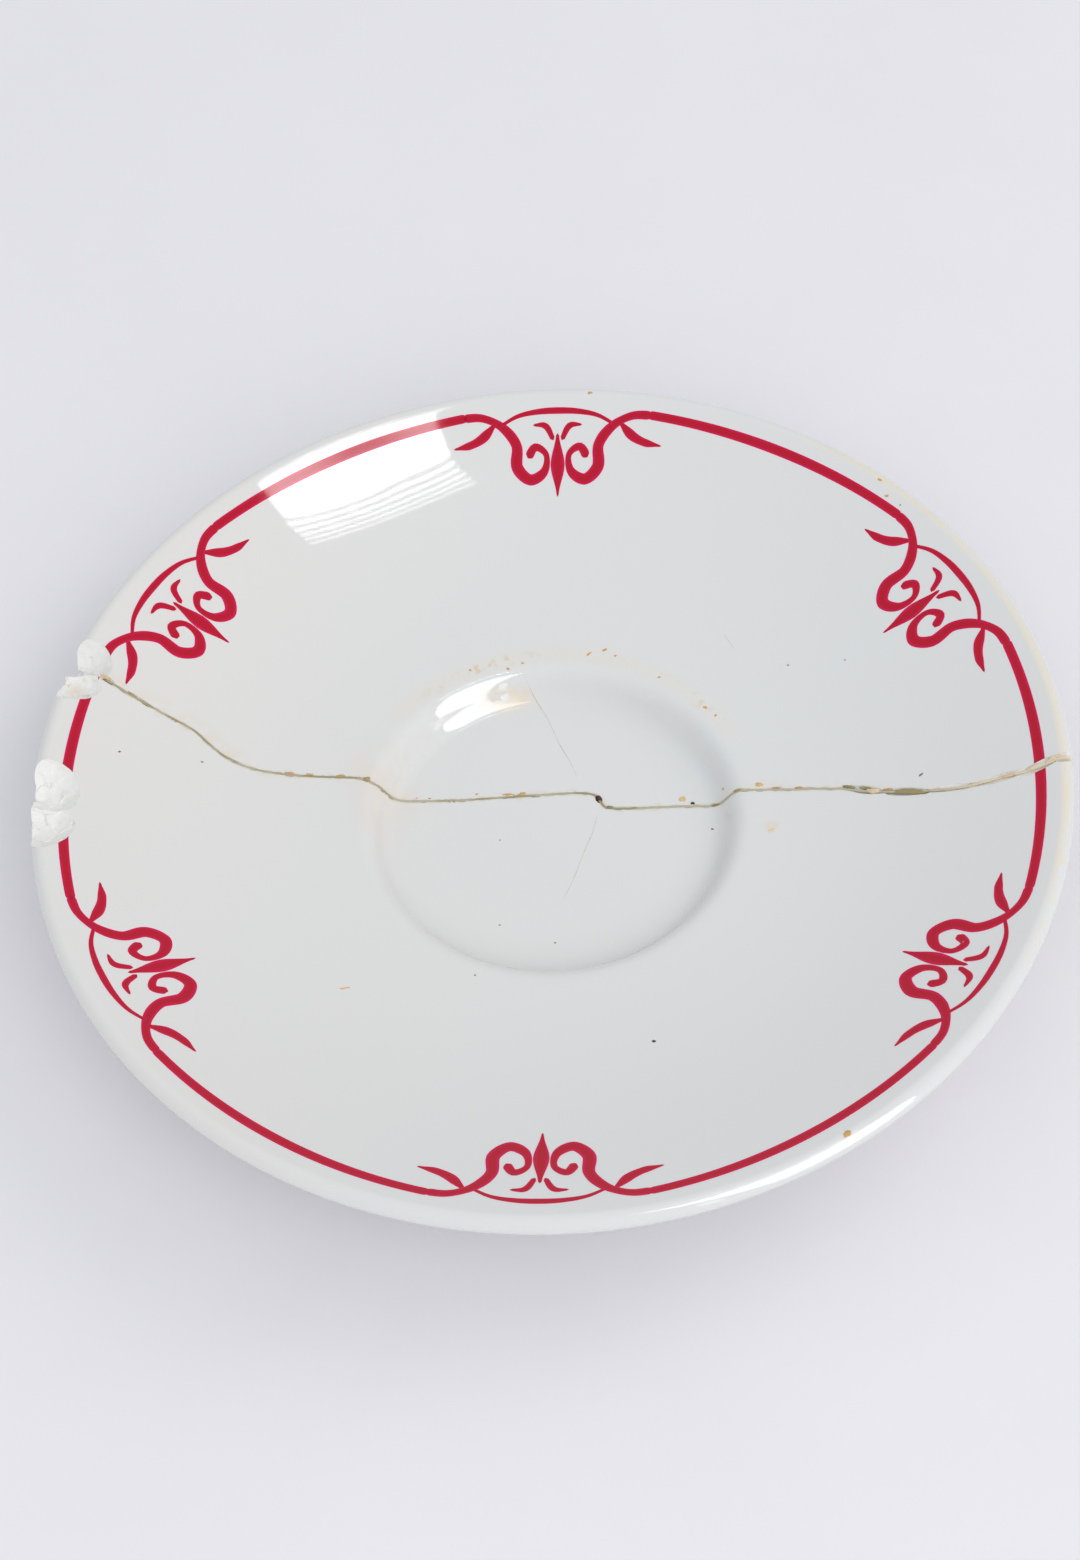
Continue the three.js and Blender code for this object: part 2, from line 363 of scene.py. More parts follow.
class SaucerStage(bpy.types.PropertyGroup):
    """The camera and the light."""

    distance: FloatProperty(
        name="Camera distance", description="From the camera to what it aims at", unit="LENGTH", default=0.4513
    )
    elevation: FloatProperty(
        name="Camera elevation",
        description="How far the camera stands above the table",
        unit="ROTATION",
        default=math.radians(53.34),
    )
    roll: FloatProperty(
        name="Camera roll",
        description="How far the camera is turned about its own axis",
        unit="ROTATION",
        default=math.radians(-4.73),
    )
    focal_pixels: FloatProperty(
        name="Focal length in pixels", description="Focal length in pixels of the 1080 wide picture", default=3000
    )
    world_strength: FloatProperty(
        name="World strength", description="Strength of the even light from all round", default=0.74
    )
    key_radiance: FloatProperty(
        name="Key radiance", description="How bright the soft light from the right looks", default=1.2
    )


def rising(angle):
    """A direction in the profile that rises outwards by an angle in degrees."""
    return Vector((math.cos(math.radians(angle)), 0, math.sin(math.radians(angle))))


def blend(start, along, end, into, steps, handle=0.38):
    """A curve that leaves start along one direction and meets end along another."""
    reach = (end - start).length * handle
    return interpolate_bezier(start, start + along * reach, end - into * reach, end, steps + 1)


def smooth_run(points):
    """A curve through points that is the same wherever they lie close together or far apart."""
    points = [Vector(p) for p in points]
    ends = [2 * points[0] - points[1], *points, 2 * points[-1] - points[-2]]
    run = [points[0]]
    for before, start, end, after in zip(ends, ends[1:], ends[2:], ends[3:]):
        leads = [math.sqrt(max((b - a).length, 1e-9)) for a, b in ((before, start), (start, end), (end, after))]
        out = (start - before) / leads[0] - (end - before) / (leads[0] + leads[1]) + (end - start) / leads[1]
        into = (end - start) / leads[1] - (after - start) / (leads[1] + leads[2]) + (after - end) / leads[2]
        thirds = leads[1] / 3
        run += interpolate_bezier(start, start + out * thirds, end - into * thirds, end, 24)[1:]
    return run


def evenly(run, step):
    """Points a step apart along a run."""
    along = [0.0]
    for a, b in zip(run, run[1:]):
        along.append(along[-1] + (b - a).length)
    count = max(round(along[-1] / step), 2)
    points = []
    for i in range(count + 1):
        place = along[-1] * i / count
        k = min(max(bisect_left(along, place), 1), len(run) - 1)
        share = (place - along[k - 1]) / max(along[k] - along[k - 1], 1e-12)
        points.append(run[k - 1].lerp(run[k], share))
    return points


def sideways(run, distance):
    """A run in plan, moved to its left by a distance."""
    moved = []
    for i, p in enumerate(run):
        way = (run[min(i + 1, len(run) - 1)] - run[max(i - 1, 0)]).normalized()
        moved.append(Vector((p.x - way.y * distance, p.y + way.x * distance, 0)))
    return moved


class Saucer:
    """The saucer's profile and the run of its break, worked out from the panel's sizes."""

    def __init__(self, shape):
        self.shape = shape
        self.lip_radius = shape.lip_thickness / 2
        self.lip_centre = Vector((shape.rim_radius - self.lip_radius, 0, shape.rim_height - self.lip_radius))
        self.well_edge = Vector(
            (shape.well_radius + shape.well_side, 0, WELL_FLOOR_HEIGHT * MM + shape.well_depth)
        )
        self.upper = self.upper_face()
        self.radii = [p.x for p in self.upper]
        self.break_run = self.run_of_break()

    def on_lip(self, angle):
        """A point on the lip's round edge, at an angle in degrees."""
        return self.lip_centre + rising(angle) * self.lip_radius

    def upper_face(self):
        """The upper face from the middle of the well to the lip."""
        height = WELL_FLOOR_HEIGHT * MM
        floor_edge = Vector((self.shape.well_radius, 0, height))
        floor = [Vector((floor_edge.x * i / FLOOR_ROWS, 0, height)) for i in range(FLOOR_ROWS)]
        side = blend(floor_edge, rising(0), self.well_edge, rising(DISH_RISE_AT_WELL), SIDE_ROWS, 0.46)
        onto_lip = self.on_lip(90 + DISH_RISE_AT_LIP)
        dish = blend(self.well_edge, rising(DISH_RISE_AT_WELL), onto_lip, rising(DISH_RISE_AT_LIP), DISH_ROWS)
        top = [self.on_lip(90 + DISH_RISE_AT_LIP * (1 - i / 4)) for i in range(1, 5)]
        return floor + side + dish[1:] + top

    def profile(self):
        """The whole profile, from the axis over the lip and back to the axis."""
        recess = (WELL_FLOOR_HEIGHT - WELL_FLOOR_THICKNESS) * MM
        outside = self.shape.foot_radius + FOOT_WIDTH / 2 * MM
        inside = self.shape.foot_radius - FOOT_WIDTH / 2 * MM
        rounding = FOOT_ROUNDING * MM
        flare = FOOT_FLARE * MM
        ring_top = Vector((outside + flare + rounding, 0, self.well_edge.z - WALL_AT_FOOT * MM))
        ring_outside = Vector((outside + rounding, 0, rounding))
        ring_inside = Vector((inside - rounding, 0, rounding))
        recess_edge = Vector((inside - flare - rounding, 0, recess))
        inwards = rising(180 + UNDERSIDE_RISE_AT_LIP)
        level_in = rising(180 + DISH_RISE_AT_WELL)
        last = UNDERSIDE_RISE_AT_LIP - 90
        lip = [self.on_lip(90 + (last - 90) * i / LIP_ROWS) for i in range(1, LIP_ROWS + 1)]
        under_dish = blend(self.on_lip(last), inwards, ring_top, level_in, UNDERSIDE_ROWS)
        flank = blend(ring_top, level_in, ring_outside, rising(-98), 10, 0.3)
        outer_round = self.rounded(ring_outside, Vector((outside, 0, 0)))
        inner_round = self.rounded(Vector((inside, 0, 0)), ring_inside)
        inner = blend(ring_inside, rising(98), recess_edge, rising(180), 8, 0.35)
        floor = [Vector((recess_edge.x * (1 - i / FLOOR_ROWS), 0, recess)) for i in range(1, FLOOR_ROWS + 1)]
        return (
            self.upper + lip + under_dish[1:] + flank[1:] + outer_round[1:] + inner_round + inner[1:] + floor
        )

    def rounded(self, start, end):
        """The rounding under the foot ring, between its flank and the flat that it stands on."""
        flat, flank = (end, start) if end.z < start.z else (start, end)
        corner = Vector((flat.x + (flank.x - flat.x) * 0.8, 0, 0))
        return interpolate_bezier(start, start.lerp(corner, 2 / 3), end.lerp(corner, 2 / 3), end, 6)

    def height(self, radius):
        """The height of the upper face at a distance from the axis."""
        k = bisect_left(self.radii, radius)
        if k >= len(self.radii):
            return self.shape.rim_height
        if k == 0:
            return self.upper[0].z
        a, b = self.upper[k - 1], self.upper[k]
        return a.z + (b.z - a.z) * (radius - a.x) / (b.x - a.x)

    def surface(self, x, y):
        """The point of the upper face over a place in plan, and its outward direction."""
        radius = math.hypot(x, y)
        step = 0.05 * MM
        slope = (self.height(radius + step) - self.height(radius - step)) / (2 * step)
        out = Vector((x, y, 0)).normalized()
        normal = (Vector((0, 0, 1)) - out * slope).normalized()
        return Vector((x, y, self.height(radius))), normal

    def run_of_break(self):
        """The break in plan as evenly spaced points, carried on past the rim at both ends."""
        line = [Vector((x, y, 0)) * MM for x, y in BREAK_LINE]
        for end, before, place in ((line[0], line[1], 0), (line[-1], line[-2], len(line) + 1)):
            way = (end - before).normalized()
            line.insert(place, end + way * (self.shape.rim_radius * 1.2 - end.length))
        run = evenly(smooth_run(line), BREAK_STEP * MM)
        for i, p in enumerate(run):
            tremor = noise.noise(Vector((i * BREAK_STEP / BREAK_TREMOR_PITCH, 3.7, 0)))
            p.y += tremor * BREAK_TREMOR * MM
        return run

    def break_y(self, x):
        """How far back the break is at a place along X."""
        k = min(max(bisect_left([p.x for p in self.break_run], x), 1), len(self.break_run) - 1)
        a, b = self.break_run[k - 1], self.break_run[k]
        return a.y + (b.y - a.y) * (x - a.x) / (b.x - a.x)

    def wander(self, x, depth):
        """How far the break face has moved from its line at a depth below the upper face."""
        lean = math.tan(math.radians(BREAK_LEAN)) * math.sin(math.tau * x / (BREAK_LEAN_LENGTH * MM))
        ripple = BREAK_RIPPLE * MM * math.sin(math.tau * depth / (BREAK_RIPPLE_PITCH * MM))
        return lean * depth + ripple


def turned(profile, doublings):
    """A closed form of revolution about Z from a profile that starts and ends on the axis.

    A sector is spun first, and then doubled until it closes the circle.
    """
    form = bmesh.new()
    points = [form.verts.new(p) for p in profile]
    edges = [form.edges.new(pair) for pair in zip(points, points[1:])]
    sector = math.tau / 2**doublings
    bmesh.ops.spin(
        form,
        geom=points + edges,
        cent=(0, 0, 0),
        axis=(0, 0, 1),
        dvec=(0, 0, 0),
        angle=sector,
        steps=SECTOR_STEPS,
        use_merge=False,
    )
    for i in range(doublings):
        copied = bmesh.ops.duplicate(form, geom=form.verts[:] + form.edges[:] + form.faces[:])["geom"]
        moved = [item for item in copied if isinstance(item, bmesh.types.BMVert)]
        bmesh.ops.rotate(form, cent=(0, 0, 0), matrix=Matrix.Rotation(sector * 2**i, 3, "Z"), verts=moved)
    bmesh.ops.remove_doubles(form, verts=form.verts, dist=1e-6)
    bmesh.ops.recalc_face_normals(form, faces=form.faces)
    return form


def new_object(name, form, materials=()):
    """A linked object that takes over a bmesh."""
    mesh = bpy.data.meshes.new(name)
    form.to_mesh(mesh)
    form.free()
    obj = bpy.data.objects.new(name, mesh)
    bpy.context.scene.collection.objects.link(obj)
    for material in materials:
        mesh.materials.append(material)
    return obj


def combine(obj, tool, operation, solver="MANIFOLD"):
    """Cuts, keeps or adds what a tool covers. Says whether anything is left of the object."""
    modifier = obj.modifiers.new("combine", "BOOLEAN")
    modifier.operation = operation
    modifier.solver = solver
    modifier.object = tool
    graph = bpy.context.evaluated_depsgraph_get()
    result = bpy.data.meshes.new_from_object(obj.evaluated_get(graph))
    obj.modifiers.clear()
    worn = obj.data
    obj.data = result
    name = worn.name
    bpy.data.meshes.remove(worn)
    result.name = name
    return bool(result.polygons)


def discard(*objects):
    """Removes tools that have done their work."""
    for obj in objects:
        mesh = obj.data
        bpy.data.objects.remove(obj)
        bpy.data.meshes.remove(mesh)


def break_tool(saucer, name, outline):
    """A closed form that stands on an outline in plan and follows the lean of the break."""
    form = bmesh.new()
    height = saucer.shape.rim_height + 2 * BREAK_MARGIN * MM
    layers = round(height / (BREAK_LAYER * MM))
    turns = len(outline)
    bmesh.ops.create_grid(form, x_segments=turns, y_segments=layers, size=1)
    for v in form.verts:
        p = outline[round((v.co.x + 1) / 2 * turns) % turns]
        v.co = Vector((p.x, p.y, (v.co.y + 1) / 2 * height - BREAK_MARGIN * MM))
    bmesh.ops.remove_doubles(form, verts=form.verts, dist=1e-6)
    bmesh.ops.holes_fill(form, edges=[e for e in form.edges if e.is_boundary], sides=0)
    for v in form.verts:
        depth = saucer.height(math.hypot(v.co.x, v.co.y)) - v.co.z
        v.co.y += saucer.wander(v.co.x, depth)
    bmesh.ops.recalc_face_normals(form, faces=form.faces)
    for face in form.faces:
        face.material_index = 1
    return new_object(name, form)


def behind_break(saucer, distance):
    """Everything behind the break, with its face a distance to the back of the break line."""
    face = sideways(saucer.break_run, distance)
    far = saucer.shape.rim_radius * 1.5
    corners = [Vector((face[-1].x, far, 0)), Vector((face[0].x, far, 0))]
    return break_tool(saucer, "behind_break", [*face, *corners])


def facet(place, seed):
    """The height of flat facets that each tilt their own way, over a flat place."""
    flat = Vector((place.x, place.y, seed))
    centre = noise.voronoi(flat)[1][0]
    return (flat - centre).dot(noise.noise_vector(centre * 7.3))


def flake_tool(saucer, scar):
    """The rippled shell that a blow at the rim knocks off, closed by a lid above the lip."""
    term = dict(zip(SCAR_TERMS, scar))
    rows = 44
    shell = []
    for i in range(rows + 1):
        out = SCAR_SPREAD * i / rows
        ripple = SCAR_RIPPLE * math.cos(math.tau * out * term["reach"] / SCAR_RIPPLE_PITCH)
        shell.append(Vector((out, 0, (term["rise"] * out**SCAR_HOLLOW + ripple) * MM)))
    lid = term["rise"] * MM + saucer.shape.rim_height / 2
    form = turned([*shell, Vector((SCAR_SPREAD, 0, lid)), Vector((0, 0, lid))], SCAR_DOUBLINGS)
    for v in form.verts:
        uneven = 1 + SCAR_WOBBLE * math.sin(3 * math.atan2(v.co.y, v.co.x) + term["azimuth"])
        v.co.x *= term["reach"] * uneven * MM
        v.co.y *= term["along"] * uneven * MM
        if v.co.z < lid * 0.9:
            fine = noise.noise(v.co / (0.45 * MM))
            v.co.z += (facet(v.co / (SCAR_FACET * MM), term["azimuth"]) * SCAR_FACET_TILT + fine * SCAR_GRAIN) * MM
    place = Matrix.Rotation(math.radians(term["azimuth"]), 4, "Z")
    place @= Matrix.Translation(
        (saucer.shape.rim_radius - term["inset"] * MM, 0, saucer.shape.rim_height - term["below"] * MM)
    )
    place @= Matrix.Rotation(math.radians(-term["tilt"]), 4, "Y")
    bmesh.ops.transform(form, matrix=place, verts=form.verts)
    for face in form.faces:
        face.material_index = 1
    return new_object("flake", form)


def pebble(centre, along, normal, half_sizes, seed, subdivisions=3, unevenness=0.22):
    """An uneven flattened ball on a surface, with its long axis along a direction."""
    form = bmesh.new()
    bmesh.ops.create_icosphere(form, subdivisions=subdivisions, radius=1)
    for v in form.verts:
        v.co *= 1 + unevenness * noise.noise(v.co * 1.7 + Vector((seed, 0, 0)))
    across = normal.cross(along).normalized()
    axes = Matrix((across.cross(normal), across, normal)).transposed().to_4x4()
    place = Matrix.Translation(centre) @ axes @ Matrix.Diagonal((*half_sizes, 1))
    bmesh.ops.transform(form, matrix=place, verts=form.verts)
    return form


def along_break(saucer, x, back):
    """A point of the upper face beside the break, its outward direction and the run's own."""
    here = Vector((x * MM, saucer.break_y(x * MM), 0))
    way = (Vector(((x + 0.3) * MM, saucer.break_y((x + 0.3) * MM), 0)) - here).normalized()
    place = here + Vector((-way.y, way.x, 0)) * back * MM
    point, normal = saucer.surface(place.x, place.y)
    return point, normal, way


def spall_tool(saucer):
    """All the spalls and crumbs that have gone from the glaze along the break, as one form."""
    draw = random.Random(CRUMB_SEED)
    lost = list(SPALLS)
    for _ in range(CRUMBS):
        x = draw.uniform(-69, 72)
        back = draw.choice((-0.2, 0.2)) + draw.uniform(-0.05, 0.05)
        lost.append((x, back, draw.uniform(0.15, 0.75), draw.uniform(0.06, 0.17), draw.uniform(0.08, 0.25)))
    tool = None
    for i, (x, back, half_length, half_width, depth) in enumerate(lost):
        point, normal, way = along_break(saucer, x, back)
        form = pebble(point, way, normal, (half_length * MM, half_width * MM, depth * MM), i)
        for face in form.faces:
            face.material_index = 1
        spall = new_object("spall", form)
        if tool is None:
            tool = spall
            continue
        combine(tool, spall, "UNION")
        discard(spall)
    return tool


def store_break_distance(obj, saucer):
    """Keeps each vertex's distance in plan from the break, for the dirt along it."""
    xs = [p.x for p in saucer.break_run]
    run = saucer.break_run
    values = []
    for v in obj.data.vertices:
        k = bisect_left(xs, v.co.x)
        reach = abs(run[min(max(k, 0), len(run) - 1)].y - v.co.y)
        if reach > 12 * MM:
            values.append(reach)
            continue
        span = int(reach / (BREAK_STEP * MM)) + 2
        near = run[max(k - span, 0) : k + span]
        values.append(min(((p.x - v.co.x) ** 2 + (p.y - v.co.y) ** 2 for p in near), default=reach**2) ** 0.5)
    attribute = obj.data.attributes.new("break_distance", "FLOAT", "POINT")
    attribute.data.foreach_set("value", values)


def shade(obj, angle=32):
    """Smooth shading with sharp edges past an angle in degrees."""
    obj.data.shade_smooth()
    obj.data.set_sharp_from_angle(angle=math.radians(angle))


def drop_slivers(obj):
    """Merges the doubled vertices that the cuts leave."""
    form = bmesh.new()
    form.from_mesh(obj.data)
    bmesh.ops.remove_doubles(form, verts=form.verts, dist=2e-7)
    bmesh.ops.dissolve_degenerate(form, edges=form.edges, dist=1e-7)
    form.to_mesh(obj.data)
    form.free()


def node(tree, kind, inputs=None, **settings):
    """Adds a node, sets its properties, and fills or links its inputs by name or number."""
    made = tree.nodes.new(kind)
    for name, value in settings.items():
        setattr(made, name, value)
    for name, value in (inputs or {}).items():
        if isinstance(value, bpy.types.NodeSocket):
            tree.links.new(value, made.inputs[name])
        else:
            made.inputs[name].default_value = value
    return made


def math_of(tree, operation, a, b=0.0, clamp=False):
    """The result of a Math node."""
    return node(tree, "ShaderNodeMath", {0: a, 1: b}, operation=operation, use_clamp=clamp).outputs[0]


def ramp_of(tree, value, low, high, to_low=0.0, to_high=1.0):
    """A value carried smoothly from one range to another."""
    inputs = {"Value": value, "From Min": low, "From Max": high, "To Min": to_low, "To Max": to_high}
    return node(tree, "ShaderNodeMapRange", inputs, interpolation_type="SMOOTHSTEP").outputs[0]


def mixed(tree, factor, a, b, blend_type="MIX"):
    """Two colours mixed by a factor."""
    return node(
        tree, "ShaderNodeMix", {0: factor, 6: a, 7: b}, data_type="RGBA", blend_type=blend_type
    ).outputs[2]


def new_group(name, inputs, outputs):
    """A shader node group with named sockets. Returns its tree, its inputs and its output node."""
    tree = bpy.data.node_groups.new(name, "ShaderNodeTree")
    for label, kind, default in inputs:
        socket = tree.interface.new_socket(name=label, in_out="INPUT", socket_type=kind)
        if default is not None:
            socket.default_value = default
    for label, kind in outputs:
        tree.interface.new_socket(name=label, in_out="OUTPUT", socket_type=kind)
    start = tree.nodes.new("NodeGroupInput")
    end = tree.nodes.new("NodeGroupOutput")
    return tree, start.outputs, end


def group_of(tree, group, **inputs):
    """Places a group in a tree. Underscores stand for the spaces in its inputs' names."""
    return node(
        tree, "ShaderNodeGroup", {k.replace("_", " "): v for k, v in inputs.items()}, node_tree=group
    ).outputs


def grain_group():
    """Fine uneven grain: a mask and a height."""
    if "surface grain" in bpy.data.node_groups:
        return bpy.data.node_groups["surface grain"]
    tree, given, end = new_group(
        "surface grain",
        [("Vector", "NodeSocketVector", None), ("Scale", "NodeSocketFloat", 400.0), ("Sharpness", "NodeSocketFloat", 0.3)],
        [("Mask", "NodeSocketFloat"), ("Height", "NodeSocketFloat")],
    )
    coarse = node(tree, "ShaderNodeTexNoise", {"Vector": given["Vector"], "Scale": given["Scale"], "Detail": 5.0})
    fine_scale = math_of(tree, "MULTIPLY", given["Scale"], 4.3)
    fine = node(tree, "ShaderNodeTexNoise", {"Vector": given["Vector"], "Scale": fine_scale, "Detail": 3.0})
    both = math_of(tree, "ADD", math_of(tree, "MULTIPLY", coarse.outputs[0], 0.7), math_of(tree, "MULTIPLY", fine.outputs[0], 0.3))
    half = math_of(tree, "MULTIPLY", given["Sharpness"], 0.5)
    low = math_of(tree, "SUBTRACT", 0.3, math_of(tree, "MULTIPLY", half, -1.0))
    high = math_of(tree, "SUBTRACT", 0.7, half)
    tree.links.new(ramp_of(tree, both, low, high), end.inputs["Mask"])
    tree.links.new(both, end.inputs["Height"])
    return tree


def breakup_of(tree, given):
    """A patchy mask from the group's own scale and cover, the same in each kind of stain."""
    patches = node(tree, "ShaderNodeTexNoise", {"Vector": given["Vector"], "Scale": given["Patch Scale"], "Detail": 4.0})
    low = math_of(tree, "SUBTRACT", 0.72, math_of(tree, "MULTIPLY", given["Cover"], 0.5))
    high = math_of(tree, "ADD", low, 0.16)
    return ramp_of(tree, patches.outputs[0], low, high)


def ring_stain_group():
    """A patchy stain on an arc of a circle about the axis."""
    if "ring stain" in bpy.data.node_groups:
        return bpy.data.node_groups["ring stain"]
    tree, given, end = new_group(
        "ring stain",
        [
            ("Vector", "NodeSocketVector", None),
            ("Radius", "NodeSocketFloat", 0.03),
            ("Width", "NodeSocketFloat", 0.001),
            ("Azimuth", "NodeSocketFloat", 0.0),
            ("Half Span", "NodeSocketFloat", 0.5),
            ("Patch Scale", "NodeSocketFloat", 600.0),
            ("Cover", "NodeSocketFloat", 0.5),
        ],
        [("Mask", "NodeSocketFloat")],
    )
    place = node(tree, "ShaderNodeSeparateXYZ", {0: given["Vector"]}).outputs
    radius = math_of(tree, "SQRT", math_of(tree, "ADD", math_of(tree, "POWER", place[0], 2.0), math_of(tree, "POWER", place[1], 2.0)))
    off = math_of(tree, "ABSOLUTE", math_of(tree, "SUBTRACT", radius, given["Radius"]))
    across = ramp_of(tree, off, 0.0, given["Width"], 1.0, 0.0)
    angle = math_of(tree, "SUBTRACT", math_of(tree, "ARCTAN2", place[1], place[0]), given["Azimuth"])
    nearness = math_of(tree, "COSINE", angle)
    limit = math_of(tree, "COSINE", given["Half Span"])
    around = ramp_of(tree, nearness, limit, math_of(tree, "ADD", limit, 0.12))
    mask = math_of(tree, "MULTIPLY", math_of(tree, "MULTIPLY", across, around), breakup_of(tree, given))
    tree.links.new(mask, end.inputs["Mask"])
    return tree


def spot_stain_group():
    """A patchy soft spot about a point."""
    if "spot stain" in bpy.data.node_groups:
        return bpy.data.node_groups["spot stain"]
    tree, given, end = new_group(
        "spot stain",
        [
            ("Vector", "NodeSocketVector", None),
            ("Centre", "NodeSocketVector", None),
            ("Stretch", "NodeSocketVector", (1.0, 1.0, 1.0)),
            ("Radius", "NodeSocketFloat", 0.003),
            ("Patch Scale", "NodeSocketFloat", 300.0),
            ("Cover", "NodeSocketFloat", 1.0),
        ],
        [("Mask", "NodeSocketFloat")],
    )
    offset = node(tree, "ShaderNodeVectorMath", {0: given["Vector"], 1: given["Centre"]}, operation="SUBTRACT")
    scaled = node(tree, "ShaderNodeVectorMath", {0: offset.outputs[0], 1: given["Stretch"]}, operation="MULTIPLY")
    away = node(tree, "ShaderNodeVectorMath", {0: scaled.outputs[0]}, operation="LENGTH").outputs["Value"]
    spot = ramp_of(tree, away, math_of(tree, "MULTIPLY", given["Radius"], 0.15), given["Radius"], 1.0, 0.0)
    tree.links.new(math_of(tree, "MULTIPLY", spot, breakup_of(tree, given)), end.inputs["Mask"])
    return tree


def break_dirt_group():
    """Dirt that fades away from the break, over a stretch of it."""
    if "break dirt" in bpy.data.node_groups:
        return bpy.data.node_groups["break dirt"]
    tree, given, end = new_group(
        "break dirt",
        [
            ("Vector", "NodeSocketVector", None),
            ("Distance", "NodeSocketFloat", 0.0),
            ("Reach", "NodeSocketFloat", 0.001),
            ("From X", "NodeSocketFloat", -0.08),
            ("To X", "NodeSocketFloat", 0.08),
            ("Patch Scale", "NodeSocketFloat", 500.0),
            ("Cover", "NodeSocketFloat", 0.6),
        ],
        [("Mask", "NodeSocketFloat")],
    )
    x = node(tree, "ShaderNodeSeparateXYZ", {0: given["Vector"]}).outputs[0]
    after = ramp_of(tree, x, math_of(tree, "SUBTRACT", given["From X"], 0.002), math_of(tree, "ADD", given["From X"], 0.002))
    before = ramp_of(tree, x, math_of(tree, "SUBTRACT", given["To X"], 0.002), math_of(tree, "ADD", given["To X"], 0.002), 1.0, 0.0)
    near = ramp_of(tree, given["Distance"], 0.0, given["Reach"], 1.0, 0.0)
    stretch = math_of(tree, "MULTIPLY", after, before)
    mask = math_of(tree, "MULTIPLY", math_of(tree, "MULTIPLY", near, stretch), breakup_of(tree, given))
    tree.links.new(mask, end.inputs["Mask"])
    return tree


def new_material(name):
    """A material with its node tree, its shader and the piece's own coordinates."""
    material = bpy.data.materials.new(name)
    material.use_nodes = True
    tree = material.node_tree
    shader = tree.nodes["Principled BSDF"]
    place = node(tree, "ShaderNodeTexCoord").outputs["Object"]
    return material, tree, shader, place


def bumped(tree, shader, height, distance, strength=1.0):
    """Feeds a height to the shader's normal."""
    bump = node(tree, "ShaderNodeBump", {"Height": height, "Distance": distance, "Strength": strength})
    tree.links.new(bump.outputs[0], shader.inputs["Normal"])


